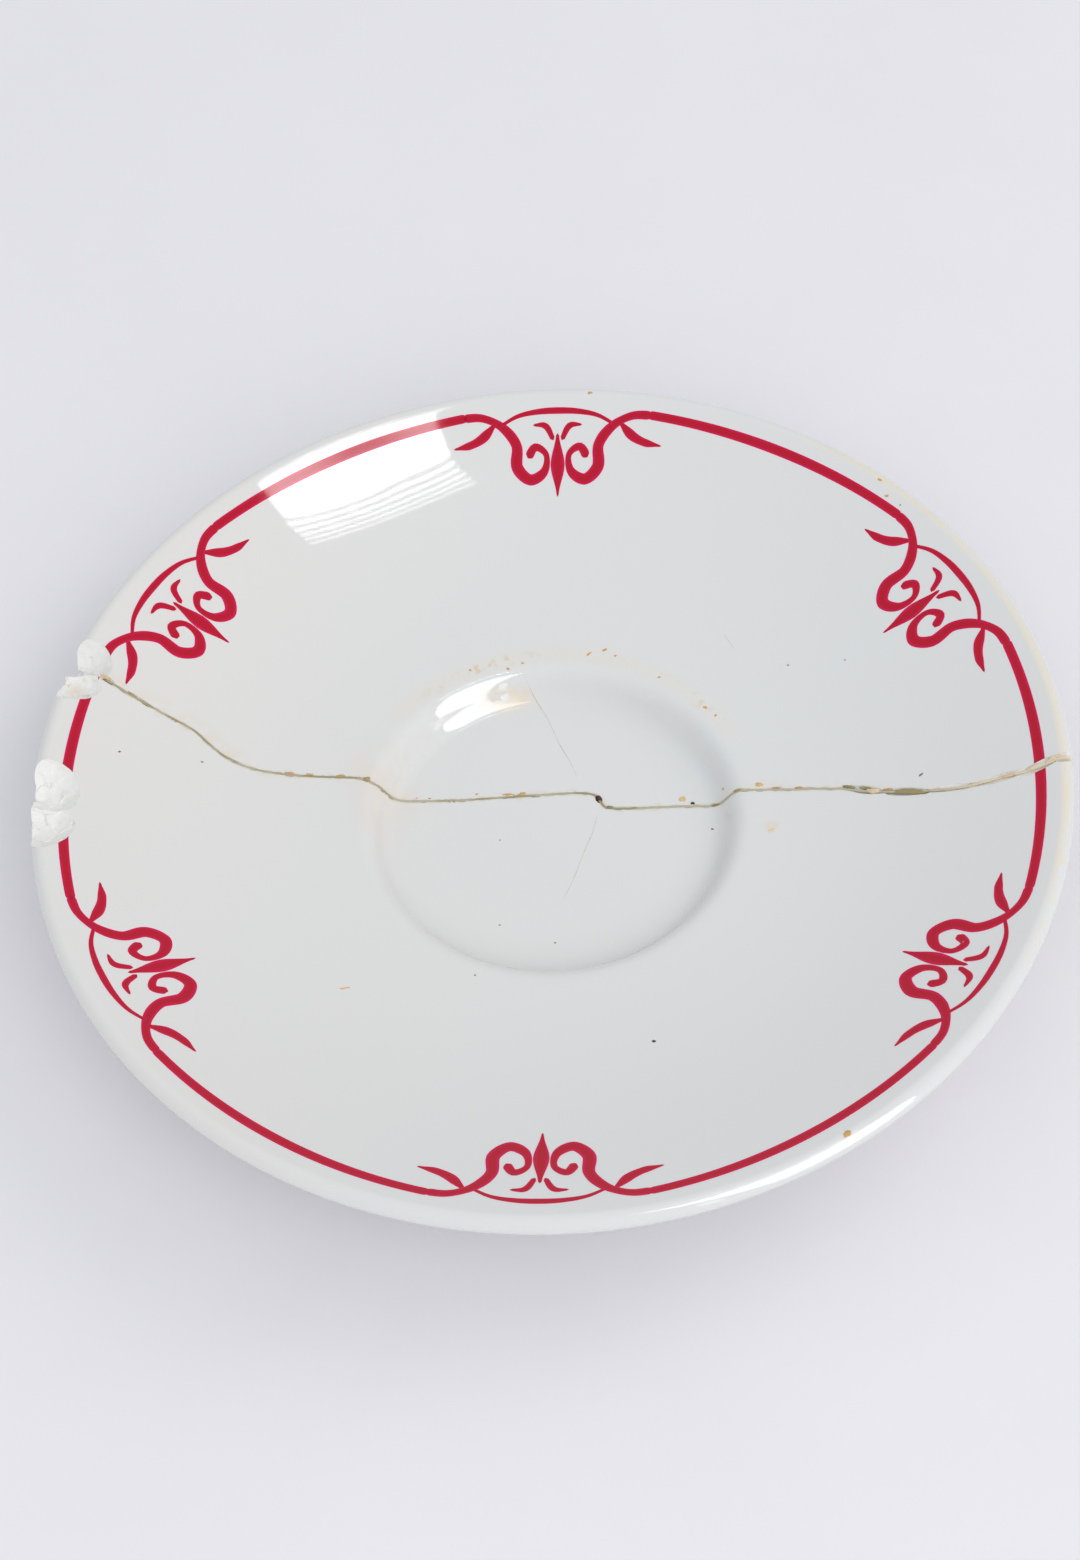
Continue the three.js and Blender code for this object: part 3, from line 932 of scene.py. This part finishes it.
def glaze_material(name, finish, rear):
    """White porcelain under glaze, with the rusty stains, the dirt along the break and painted warm light on the left
    side of the dish.
    """
    material, tree, shader, place = new_material(name)
    distance = node(tree, "ShaderNodeAttribute", attribute_name="break_distance").outputs["Fac"]
    clouds = node(tree, "ShaderNodeTexNoise", {"Vector": place, "Scale": 14.0, "Detail": 2.0}).outputs[0]
    x = node(tree, "ShaderNodeSeparateXYZ", {0: place}).outputs[0]
    # Painted warm light: the glaze is tinted warmer towards -X, where the warm key light falls on the left inner slope.
    # The noise clouds add a random warm tone on top.
    painted_warm_light_left = ramp_of(tree, x, -0.08, 0.03, 0.75, 0.0)
    tone_and_warm_light = math_of(tree, "MULTIPLY", math_of(tree, "ADD", clouds, painted_warm_light_left), 0.6, clamp=True)
    base = mixed(tree, tone_and_warm_light, tuple(finish.porcelain), tuple(finish.porcelain_warm))
    ochre = tuple(finish.ochre)
    cream = colour(236, 220, 188)
    ring, spot, dirt = ring_stain_group(), spot_stain_group(), break_dirt_group()

    def arc(radius, width, azimuth, half_span, patch_scale, cover):
        return group_of(
            tree,
            ring,
            Vector=place,
            Radius=radius * MM,
            Width=width * MM,
            Azimuth=math.radians(azimuth),
            Half_Span=math.radians(half_span),
            Patch_Scale=patch_scale,
            Cover=cover,
        )[0]

    def blot(x, y, z, radius, stretch, patch_scale, cover):
        return group_of(
            tree,
            spot,
            Vector=place,
            Centre=(x * MM, y * MM, z * MM),
            Stretch=stretch,
            Radius=radius * MM,
            Patch_Scale=patch_scale,
            Cover=cover,
        )[0]

    def along(reach, from_x, to_x, patch_scale, cover):
        return group_of(
            tree,
            dirt,
            Vector=place,
            Distance=distance,
            Reach=reach * MM,
            From_X=from_x * MM,
            To_X=to_x * MM,
            Patch_Scale=patch_scale,
            Cover=cover,
        )[0]

    layers = [
        (along(5.0, -30, -20, 180.0, 0.9), 0.25, colour(232, 216, 200)),
        (along(1.4, -80, 80, 420.0, 0.42), 0.32, colour(222, 188, 140)),
        (along(0.8, -80, 80, 260.0, 0.95), 0.35, colour(226, 214, 192)),
        (along(0.55, -80, 80, 900.0, 0.6), 0.5, tuple(finish.olive)),
        (arc(73.6, 1.0, 14, 42, 300.0, 0.85), 0.5, cream),
        (arc(74.0, 1.2, 106, 14, 200.0, 0.8), 0.45, colour(232, 212, 184)),
    ]
    if rear:
        layers += [
            (along(3.2, -64, -44, 420.0, 0.7), 0.34, colour(228, 206, 168)),
            (along(2.6, 26, 48, 300.0, 0.5), 0.3, colour(226, 208, 178)),
            (arc(30.2, 2.4, 80, 62, 120.0, 0.95), 0.16, cream),
            (arc(30.1, 1.7, 108, 22, 700.0, 0.42), 0.65, ochre),
            (arc(30.4, 1.9, 72, 12, 800.0, 0.4), 0.6, ochre),
            (arc(30.0, 1.7, 40, 18, 700.0, 0.42), 0.6, ochre),
            (blot(-5.6, 24.7, 6.4, 4.4, (0.7, 1.7, 1.0), 330.0, 0.8), 0.36, colour(240, 214, 168)),
            (blot(-3.4, 25.3, 6.4, 2.0, (1.0, 0.8, 1.0), 500.0, 0.8), 0.3, colour(238, 208, 156)),
            (blot(-25.5, 9.5, 7.0, 9.0, (1.3, 1.0, 1.0), 220.0, 0.7), 0.25, colour(230, 212, 196)),
            (arc(73.4, 1.4, 38, 14, 500.0, 0.4), 0.6, ochre),
        ]
    else:
        layers += [
            (blot(-26.0, 4.0, 7.6, 8.0, (1.5, 1.0, 1.0), 240.0, 0.7), 0.25, colour(230, 212, 196)),
            (blot(31.7, -5.6, 9.9, 1.6, (1.0, 1.0, 1.0), 600.0, 0.7), 0.4, colour(232, 205, 165)),
            (arc(74.0, 0.8, -18, 22, 300.0, 0.7), 0.4, cream),
        ]
    total = None
    for mask, strength, tint in layers:
        share = math_of(tree, "MULTIPLY", mask, strength)
        base = mixed(tree, share, base, tint)
        total = share if total is None else math_of(tree, "MAXIMUM", total, share)
    tree.links.new(base, shader.inputs["Base Color"])
    tree.links.new(ramp_of(tree, total, 0.05, 0.6, 0.03, 0.4), shader.inputs["Roughness"])
    waves = node(tree, "ShaderNodeTexNoise", {"Vector": place, "Scale": 45.0, "Detail": 1.0}).outputs[0]
    bumped(tree, shader, waves, 0.00006)
    return material


def body_material(finish):
    """Bare porcelain body: matt, finely granular, and dirty where it lines the break."""
    material, tree, shader, place = new_material("bare_body")
    distance = node(tree, "ShaderNodeAttribute", attribute_name="break_distance").outputs["Fac"]
    grain = group_of(tree, grain_group(), Vector=place, Scale=900.0, Sharpness=0.2)
    dirt, spot = break_dirt_group(), spot_stain_group()
    base = mixed(tree, math_of(tree, "MULTIPLY", grain["Mask"], 0.35), tuple(finish.body), colour(226, 224, 219))
    lining = group_of(
        tree, dirt, Vector=place, Distance=distance, Reach=0.45 * MM, From_X=-0.09, To_X=0.055, Patch_Scale=500.0, Cover=1.0
    )[0]
    stain = group_of(
        tree, dirt, Vector=place, Distance=distance, Reach=1.6 * MM, From_X=-0.09, To_X=0.09, Patch_Scale=700.0, Cover=0.45
    )[0]
    tan = group_of(
        tree, spot, Vector=place, Centre=(-0.0692, 0.0222, 0.0200), Stretch=(1.0, 1.0, 1.0), Radius=2.2 * MM, Patch_Scale=600.0, Cover=0.8
    )[0]
    base = mixed(tree, math_of(tree, "MULTIPLY", lining, 0.6), base, tuple(finish.olive))
    base = mixed(tree, math_of(tree, "MULTIPLY", stain, 0.32), base, tuple(finish.ochre))
    base = mixed(tree, math_of(tree, "MULTIPLY", tan, 0.35), base, colour(222, 196, 160))
    tree.links.new(base, shader.inputs["Base Color"])
    shader.inputs["Roughness"].default_value = 0.72
    bumped(tree, shader, grain["Height"], 0.00012)
    return material


def foot_material(finish):
    """The unglazed underside of the foot ring, rubbed and grey."""
    material, tree, shader, place = new_material("unglazed_foot")
    grain = group_of(tree, grain_group(), Vector=place, Scale=700.0, Sharpness=0.5)
    rubbed = group_of(tree, grain_group(), Vector=place, Scale=90.0, Sharpness=0.3)
    base = mixed(tree, math_of(tree, "MULTIPLY", grain["Mask"], 0.5), colour(221, 216, 206), colour(199, 191, 176))
    base = mixed(tree, math_of(tree, "MULTIPLY", rubbed["Mask"], 0.35), base, colour(168, 160, 148))
    tree.links.new(base, shader.inputs["Base Color"])
    shader.inputs["Roughness"].default_value = 0.85
    bumped(tree, shader, grain["Height"], 0.0001)
    return material


def print_material(finish):
    """Crimson print under the glaze, thinner and brighter along the edges of its strokes."""
    material, tree, shader, place = new_material("crimson_print")
    edge = node(tree, "ShaderNodeAttribute", attribute_name="stroke_edge").outputs["Fac"]
    grain = group_of(tree, grain_group(), Vector=place, Scale=350.0, Sharpness=0.1)
    uneven = math_of(tree, "MULTIPLY", math_of(tree, "SUBTRACT", grain["Height"], 0.5), 0.6)
    thin = ramp_of(tree, math_of(tree, "ADD", edge, uneven), 0.35, 1.05)
    base = mixed(tree, thin, tuple(finish.crimson), tuple(finish.crimson_thin))
    tree.links.new(base, shader.inputs["Base Color"])
    shader.inputs["Roughness"].default_value = 0.05
    shader.inputs["Specular IOR Level"].default_value = 0.3
    return material


def adhesive_material(finish):
    """Old adhesive in the break, grey where it is clean and brown where dirt has got in."""
    material, tree, shader, place = new_material("old_adhesive")
    grain = group_of(tree, grain_group(), Vector=place, Scale=420.0, Sharpness=0.4)
    patches = group_of(tree, grain_group(), Vector=place, Scale=60.0, Sharpness=0.5)
    x = node(tree, "ShaderNodeSeparateXYZ", {0: place}).outputs[0]
    pale = ramp_of(tree, x, 0.050, 0.062)
    base = mixed(tree, math_of(tree, "MULTIPLY", patches["Mask"], 0.8), tuple(finish.adhesive), tuple(finish.olive))
    base = mixed(tree, math_of(tree, "MULTIPLY", grain["Mask"], 0.3), base, tuple(finish.ochre))
    base = mixed(tree, math_of(tree, "MULTIPLY", pale, 0.8), base, colour(232, 221, 198))
    tree.links.new(base, shader.inputs["Base Color"])
    shader.inputs["Roughness"].default_value = 0.6
    bumped(tree, shader, grain["Height"], 0.00015)
    return material


def crust_material(finish):
    """Crusts and specks, from ochre to near black by their own darkness."""
    material, tree, shader, place = new_material("crust")
    darkness = node(tree, "ShaderNodeAttribute", attribute_name="darkness").outputs["Fac"]
    grain = group_of(tree, grain_group(), Vector=place, Scale=1500.0, Sharpness=0.2)
    shade_of = math_of(tree, "ADD", darkness, math_of(tree, "MULTIPLY", math_of(tree, "SUBTRACT", grain["Height"], 0.5), 0.4))
    cream = mixed(tree, ramp_of(tree, shade_of, -0.4, 0.05), colour(232, 218, 192), tuple(finish.ochre))
    pale_half = mixed(tree, ramp_of(tree, shade_of, 0.0, 0.5), cream, tuple(finish.olive))
    base = mixed(tree, ramp_of(tree, shade_of, 0.45, 0.95), pale_half, tuple(finish.dark))
    tree.links.new(base, shader.inputs["Base Color"])
    shader.inputs["Roughness"].default_value = 0.55
    bumped(tree, shader, grain["Height"], 0.0001)
    return material


def hairline_material():
    """A hairline in the glaze that has taken up a little dirt."""
    material, tree, shader, place = new_material("hairline")
    grain = group_of(tree, grain_group(), Vector=place, Scale=300.0, Sharpness=0.3)
    base = mixed(tree, grain["Mask"], colour(214, 209, 198), colour(196, 184, 162))
    tree.links.new(base, shader.inputs["Base Color"])
    shader.inputs["Roughness"].default_value = 0.2
    return material


def scene_material(name, maker, *arguments):
    """The material of that name, made once."""
    found = bpy.data.materials.get(name)
    return found or maker(*arguments)


class SAUCER_OT_build_shards(bpy.types.Operator):
    """Build the two shards with their break faces, spalls and rim scars"""

    bl_idname = "saucer.build_shards"
    bl_label = "Shards"
    bl_options = {"REGISTER", "UNDO"}

    def execute(self, context):
        saucer = Saucer(context.scene.saucer_shape)
        finish = context.scene.saucer_finish
        body = scene_material("bare_body", body_material, finish)
        foot = scene_material("unglazed_foot", foot_material, finish)
        spalls = spall_tool(saucer)
        half_gap = saucer.shape.gap / 2
        sides = [
            ("shard_back_glazed", "shard_back", "back_porcelain", "INTERSECT", half_gap, BACK_SCARS, True),
            ("shard_front_glazed", "shard_front", "front_porcelain", "DIFFERENCE", -half_gap, FRONT_SCARS, False),
        ]
        for name, cad_node, slot, operation, distance, scars, rear in sides:
            form = turned(saucer.profile(), SAUCER_DOUBLINGS)
            for face in form.faces:
                if face.calc_center_median().z < UNGLAZED_HEIGHT * MM:
                    face.material_index = 2
            glaze = glaze_material(f"{slot}_glaze", finish, rear)
            shard = new_object(name, form, [glaze, body, foot])
            behind = behind_break(saucer, distance)
            for tool in [behind, *(flake_tool(saucer, scar) for scar in scars)]:
                if not combine(shard, tool, operation if tool is behind else "DIFFERENCE"):
                    raise RuntimeError(f"nothing is left of {name} after {tool.name}")
                discard(tool)
            combine(shard, spalls, "DIFFERENCE")
            drop_slivers(shard)
            store_break_distance(shard, saucer)
            shade(shard)
            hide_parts(cad_node)
            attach(shard, "root")
        discard(spalls)
        return {"FINISHED"}


class SAUCER_OT_build_adhesive(bpy.types.Operator):
    """Build the film of old adhesive between the shards and the crusts along it"""

    bl_idname = "saucer.build_adhesive"
    bl_label = "Adhesive and crusts"
    bl_options = {"REGISTER", "UNDO"}

    def execute(self, context):
        saucer = Saucer(context.scene.saucer_shape)
        finish = context.scene.saucer_finish
        form = turned(saucer.profile(), SAUCER_DOUBLINGS)
        form.normal_update()
        for v in form.verts:
            sunk = 0.5 + noise.noise(v.co / (2.3 * MM))
            v.co -= v.normal * saucer.shape.film_setback * max(sunk, 0.15) * 2
        film = new_object("adhesive_film", form, [scene_material("old_adhesive", adhesive_material, finish)])
        inset = saucer.shape.gap / 2 - 0.01 * MM
        outline = [*sideways(saucer.break_run, -inset), *reversed(sideways(saucer.break_run, inset))]
        slab = break_tool(saucer, "break_slab", outline)
        combine(film, slab, "INTERSECT")
        discard(slab)
        for scar in BACK_SCARS + FRONT_SCARS[:1]:
            flake = flake_tool(saucer, scar)
            combine(film, flake, "DIFFERENCE")
            discard(flake)
        for face in film.data.polygons:
            face.material_index = 0
        drop_slivers(film)
        shade(film, 50)
        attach(film, "root")

        crusts = bmesh.new()
        darkness = crusts.verts.layers.float.new("darkness")
        for i, (x, back, long, wide, high, dark) in enumerate(CRUSTS):
            point, normal, way = along_break(saucer, x, back)
            add_pebble(crusts, darkness, point, way, normal, (long, wide, high), i, dark)
        heap = new_object("break_crusts", crusts, [scene_material("crust", crust_material, finish)])
        shade(heap, 60)
        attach(heap, "root")
        return {"FINISHED"}


def add_pebble(heap, layer, point, way, normal, sizes, seed, dark):
    """Adds an uneven crust of some length, width and height in millimetres to a heap."""
    half_sizes = (sizes[0] / 2 * MM, sizes[1] / 2 * MM, sizes[2] * MM)
    form = pebble(point - normal * sizes[2] * 0.4 * MM, way, normal, half_sizes, seed * 3.1, 3, 0.55)
    mesh = bpy.data.meshes.new("crust")
    form.to_mesh(mesh)
    form.free()
    first = len(heap.verts)
    heap.from_mesh(mesh)
    heap.verts.ensure_lookup_table()
    for v in heap.verts[first:]:
        v[layer] = dark
    bpy.data.meshes.remove(mesh)


class SAUCER_OT_build_specks(bpy.types.Operator):
    """Build the specks of dirt that have dried on the glaze"""

    bl_idname = "saucer.build_specks"
    bl_label = "Specks"
    bl_options = {"REGISTER", "UNDO"}

    def execute(self, context):
        saucer = Saucer(context.scene.saucer_shape)
        heap = bmesh.new()
        layer = heap.verts.layers.float.new("darkness")
        for i, (x, y, long, wide, turn, dark) in enumerate(SPECKS):
            point, normal = saucer.surface(x * MM, y * MM)
            way = Vector((math.cos(math.radians(turn)), math.sin(math.radians(turn)), 0))
            add_pebble(heap, layer, point, way, normal, (long, wide, SPECK_THICKNESS), i + 40, dark)
        specks = new_object("specks", heap, [scene_material("crust", crust_material, context.scene.saucer_finish)])
        shade(specks, 60)
        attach(specks, "root")
        return {"FINISHED"}


def width_at(widths, share):
    """A width from an even list of widths, at a share of the way along."""
    place = share * (len(widths) - 1)
    k = min(int(place), len(widths) - 2)
    ease = place - k
    ease = ease * ease * (3 - 2 * ease)
    return widths[k] + (widths[k + 1] - widths[k]) * ease


def ribbon(run, widths, onto, lift, columns):
    """A thin closed ribbon along a run in its own flat coordinates, laid on a surface."""
    run = evenly(smooth_run([Vector((x, y, 0)) for x, y in run]), STROKE_STEP)
    total = sum((b - a).length for a, b in zip(run, run[1:]))
    form = bmesh.new()
    bmesh.ops.create_grid(form, x_segments=len(run) - 1, y_segments=columns, size=1)
    edge = form.verts.layers.float.new("stroke_edge")
    last = len(run) - 1
    for v in form.verts:
        i = round((v.co.x + 1) / 2 * last)
        across = v.co.y
        way = (run[min(i + 1, last)] - run[max(i - 1, 0)]).normalized()
        half = width_at(widths, i / last) / 2
        to_end = min(i, last - i) * total / last
        if to_end < half:
            half *= math.sqrt(max(1 - (1 - to_end / half) ** 2, 0.02))
        place = run[i] + Vector((-way.y, way.x, 0)) * across * half
        v[edge] = abs(across)
        v.co = onto(place.x, place.y)
    form.normal_update()
    if sum(f.normal.z for f in form.faces) < 0:
        bmesh.ops.reverse_faces(form, faces=form.faces)
    bottom = bmesh.ops.duplicate(form, geom=form.verts[:] + form.edges[:] + form.faces[:])["geom"]
    under = [item for item in bottom if isinstance(item, bmesh.types.BMVert)]
    bmesh.ops.translate(form, verts=under, vec=(0, 0, -2 * lift))
    bmesh.ops.reverse_faces(form, faces=[item for item in bottom if isinstance(item, bmesh.types.BMFace)])
    open_edges = [e for e in form.edges if e.is_boundary]
    bmesh.ops.bridge_loops(form, edges=open_edges)
    bmesh.ops.recalc_face_normals(form, faces=form.faces)
    return form


class SAUCER_OT_build_border(bpy.types.Operator):
    """Build the printed border, cut where the saucer is broken and chipped"""

    bl_idname = "saucer.build_border"
    bl_label = "Printed border"
    bl_options = {"REGISTER", "UNDO"}

    def execute(self, context):
        saucer = Saucer(context.scene.saucer_shape)
        border = context.scene.saucer_border
        crimson = scene_material("crimson_print", print_material, context.scene.saucer_finish)
        strokes = list(border_strokes(saucer, border))
        half_gap = saucer.shape.gap / 2
        sides = [
            ("border_back", "INTERSECT", half_gap, BACK_SCARS, 1),
            ("border_front", "DIFFERENCE", -half_gap, FRONT_SCARS, -1),
        ]
        spalls = spall_tool(saucer)
        for name, operation, distance, scars, side in sides:
            behind = behind_break(saucer, distance)
            flakes = [flake_tool(saucer, scar) for scar in scars]
            whole = bmesh.new()
            for i, (run, widths, onto, lift) in enumerate(strokes):
                form = ribbon(run, widths, onto, lift, STROKE_COLUMNS)
                offsets = [side * (v.co.y - saucer.break_y(v.co.x)) for v in form.verts]
                if max(offsets) < -NEAR_BREAK * MM:
                    form.free()
                    continue
                beside_break = min(offsets) < NEAR_BREAK * MM
                piece = new_object("stroke", form)
                tools = [(behind, operation), (spalls, "DIFFERENCE")] if beside_break else []
                tools += [(flake, "DIFFERENCE") for flake in flakes if near(piece, flake)]
                if all(combine(piece, tool, how) for tool, how in tools):
                    whole.from_mesh(piece.data)
                discard(piece)
            printed = new_object(name, whole, [crimson])
            for face in printed.data.polygons:
                face.material_index = 0
            drop_slivers(printed)
            shade(printed)
            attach(printed, "root")
            discard(behind, *flakes)
        discard(spalls)
        return {"FINISHED"}


def near(a, b):
    """Whether the boxes round two objects overlap."""
    lows = [[min(v.co[k] for v in o.data.vertices) for k in range(3)] for o in (a, b)]
    highs = [[max(v.co[k] for v in o.data.vertices) for k in range(3)] for o in (a, b)]
    return all(lows[0][k] < highs[1][k] and lows[1][k] < highs[0][k] for k in range(3))


def border_strokes(saucer, border):
    """The border's strokes: a run, its widths, how it lies on the dish and how far it is lifted."""
    turn = math.tau / border.motifs
    radius = border.radius
    half_turn = MOTIF_HALF_SPAN * MM / radius
    count = 0
    for k in range(border.motifs):
        middle = border.first_azimuth + turn * k

        def onto_dish(along, inward, middle=middle, lift=0.0):
            azimuth = middle + along * MM / radius
            reach = radius - inward * MM
            height = saucer.height(reach) + lift
            return Vector((reach * math.cos(azimuth), reach * math.sin(azimuth), height))

        for points, widths, mirrored in BORDER_STROKES:
            for hand in (1, -1) if mirrored else (1,):
                count += 1
                lift = border.lift * (1 + 0.2 * (count % 5))
                run = [(x * hand, y) for x, y in points]
                yield run, widths, lambda a, b, f=onto_dish, h=lift: f(a, b, lift=h), lift
        start = MOTIF_HALF_SPAN - 0.6
        end = turn * radius / MM - start
        run = [(start + (end - start) * i / 8, 0.35 * math.sin(math.pi * i / 8)) for i in range(9)]
        lift = border.lift
        yield run, RUN_WIDTHS, lambda a, b, f=onto_dish, h=lift: f(a, b, lift=h), lift


class SAUCER_OT_build_hairlines(bpy.types.Operator):
    """Build the fine hairlines in the glaze"""

    bl_idname = "saucer.build_hairlines"
    bl_label = "Hairlines"
    bl_options = {"REGISTER", "UNDO"}

    def execute(self, context):
        saucer = Saucer(context.scene.saucer_shape)
        lift = 0.012 * MM
        whole = bmesh.new()
        widths = (HAIRLINE_WIDTH * 0.3, HAIRLINE_WIDTH, HAIRLINE_WIDTH * 0.7, HAIRLINE_WIDTH * 0.2)

        def onto(x, y):
            return Vector((x * MM, y * MM, saucer.height(math.hypot(x, y) * MM) + lift))

        for run in HAIRLINES:
            form = ribbon(run, widths, onto, lift, 2)
            mesh = bpy.data.meshes.new("hairline")
            form.to_mesh(mesh)
            form.free()
            whole.from_mesh(mesh)
            bpy.data.meshes.remove(mesh)
        lines = new_object("hairlines", whole, [scene_material("hairline", hairline_material)])
        shade(lines)
        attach(lines, "root")
        return {"FINISHED"}


def seen_from(azimuth, elevation, distance):
    """A place in a direction from the middle of the saucer, in degrees."""
    level = math.cos(math.radians(elevation))
    turn = math.radians(azimuth)
    return Vector((level * math.cos(turn), level * math.sin(turn), math.sin(math.radians(elevation)))) * distance


def area_lamp(name, place, aim, size, radiance, tint, lights="BOTH", long_axis=None):
    """A rectangular lamp that faces a point, by how bright it looks rather than by its power."""
    light = bpy.data.lights.new(name, "AREA")
    light.shape = "RECTANGLE"
    light.size, light.size_y = size
    light.energy = radiance * math.pi * size[0] * size[1]
    light.color = tint
    lamp = bpy.data.objects.new(name, light)
    bpy.context.scene.collection.objects.link(lamp)
    back = (Vector(place) - Vector(aim)).normalized()
    side = Vector(long_axis or (-back.y, back.x, 0))
    side = (side - back * side.dot(back)).normalized()
    axes = Matrix((side, back.cross(side), back)).transposed().to_4x4()
    lamp.matrix_world = Matrix.Translation(place) @ axes
    lamp.visible_glossy = lights != "DIFFUSE"
    lamp.visible_diffuse = lights != "GLOSS"
    return lamp


def floor_material(finish):
    """A plain pale table top with a faint mottle."""
    material, tree, shader, place = new_material("floor")
    grain = group_of(tree, grain_group(), Vector=place, Scale=20.0, Sharpness=0.0)
    base = mixed(tree, math_of(tree, "MULTIPLY", grain["Mask"], 0.12), tuple(finish.floor), colour(221, 219, 225))
    tree.links.new(base, shader.inputs["Base Color"])
    shader.inputs["Roughness"].default_value = 0.6
    shader.inputs["Specular IOR Level"].default_value = 0.2
    return material


class SAUCER_OT_build_stage(bpy.types.Operator):
    """Build the floor, the light and the camera"""

    bl_idname = "saucer.build_stage"
    bl_label = "Stage"
    bl_options = {"REGISTER", "UNDO"}

    def execute(self, context):
        scene = context.scene
        stage = scene.saucer_stage
        finish = scene.saucer_finish
        form = bmesh.new()
        bmesh.ops.create_grid(form, x_segments=1, y_segments=1, size=4)
        floor = new_object("floor", form, [scene_material("floor", floor_material, finish)])

        world = bpy.data.worlds.new("studio")
        scene.world = world
        world.use_nodes = True
        tree = world.node_tree
        tree.nodes.clear()
        seen = node(tree, "ShaderNodeLightPath").outputs["Is Camera Ray"]
        light = node(tree, "ShaderNodeBackground", {"Color": (0.93, 0.965, 1.0, 1.0), "Strength": stage.world_strength})
        backdrop = node(tree, "ShaderNodeBackground", {"Color": tuple(finish.floor), "Strength": 1.0})
        mix = node(tree, "ShaderNodeMixShader", {0: seen, 1: light.outputs[0], 2: backdrop.outputs[0]})
        node(tree, "ShaderNodeOutputWorld", {0: mix.outputs[0]})

        key = Vector((1.05, 0.4, 0.9))
        area_lamp("soft_key", key, (0, 0, 0), (0.9, 0.9), stage.key_radiance, (1.0, 0.95, 0.89), "DIFFUSE")
        area_lamp("soft_fill", seen_from(-75, 42, 1.2), (0, 0, 0), (0.9, 0.9), 1.65, (1.0, 0.98, 0.96), "DIFFUSE")
        area_lamp("window", seen_from(-46, 36, 1.0), (0, 0, 0), (0.54, 1.35), 6.5, (1, 1, 1), "GLOSS")
        area_lamp("small_pane", seen_from(-69, 22, 1.0), (0, 0, 0), (0.07, 0.34), 4.0, (0.8, 0.92, 1.0), "GLOSS")
        blind = Vector((0.25, 0.074, 1.2))
        run = Vector((0.25, 0.125, 0)).normalized()
        step = Vector((-run.y, run.x, 0))
        area_lamp("blind_open", blind - step * 0.006, (0, 0, 0.01), (0.29, 0.03), 14.0, (1, 1, 1), "GLOSS", run)
        for i in range(5):
            place = blind + step * (0.016 + 0.009 * i) - run * 0.004 * i
            area_lamp(f"blind_slat_{i}", place, (0, 0, 0.01), (0.29, 0.0034), 16.0 - 2.2 * i, (1, 1, 1), "GLOSS", run)

        camera_data = bpy.data.cameras.new("camera")
        camera_data.sensor_fit = "AUTO"
        camera_data.sensor_width = SENSOR
        camera_data.lens = stage.focal_pixels / max(PICTURE_WIDTH, PICTURE_HEIGHT) * SENSOR
        camera_data.clip_start = 0.01
        camera_data.clip_end = 20
        camera = bpy.data.objects.new("camera", camera_data)
        scene.collection.objects.link(camera)
        back = Vector((0, -math.cos(stage.elevation), math.sin(stage.elevation)))
        level_up = Vector((0, math.sin(stage.elevation), math.cos(stage.elevation)))
        right = Vector((1, 0, 0)) * math.cos(stage.roll) + level_up * math.sin(stage.roll)
        axes = Matrix((right, back.cross(right), back)).transposed().to_4x4()
        camera.matrix_world = Matrix.Translation(CAMERA_AIM + back * stage.distance) @ axes
        scene.camera = camera
        scene.view_settings.view_transform = "Standard"
        return {"FINISHED"}


BUILDERS = (
    SAUCER_OT_build_stage,
    SAUCER_OT_build_shards,
    SAUCER_OT_build_adhesive,
    SAUCER_OT_build_border,
    SAUCER_OT_build_specks,
    SAUCER_OT_build_hairlines,
)


class SAUCER_PT_pieces(bpy.types.Panel):
    """The saucer's pieces, each with the operator that builds it"""

    bl_label = "Broken Saucer"
    bl_idname = "SAUCER_PT_pieces"
    bl_space_type = "VIEW_3D"
    bl_region_type = "UI"
    bl_category = "Saucer"

    def draw(self, context):
        for builder in BUILDERS:
            self.layout.operator(builder.bl_idname)


SETTINGS = {
    "saucer_shape": SaucerShape,
    "saucer_border": SaucerBorder,
    "saucer_finish": SaucerFinish,
    "saucer_stage": SaucerStage,
}


def register():
    """Registers the settings, the operators and the panel."""
    for name, settings in SETTINGS.items():
        bpy.utils.register_class(settings)
        setattr(bpy.types.Scene, name, PointerProperty(type=settings))
    for item in (*BUILDERS, SAUCER_PT_pieces):
        bpy.utils.register_class(item)


def unregister():
    """Removes what register added."""
    for item in (SAUCER_PT_pieces, *reversed(BUILDERS)):
        bpy.utils.unregister_class(item)
    for name, settings in SETTINGS.items():
        delattr(bpy.types.Scene, name)
        bpy.utils.unregister_class(settings)


def main():
    """Builds the stage and every piece."""
    register()
    bpy.ops.saucer.build_stage()
    bpy.ops.saucer.build_shards()
    bpy.ops.saucer.build_adhesive()
    bpy.ops.saucer.build_border()
    bpy.ops.saucer.build_specks()
    bpy.ops.saucer.build_hairlines()


if __name__ == "__main__":
    main()
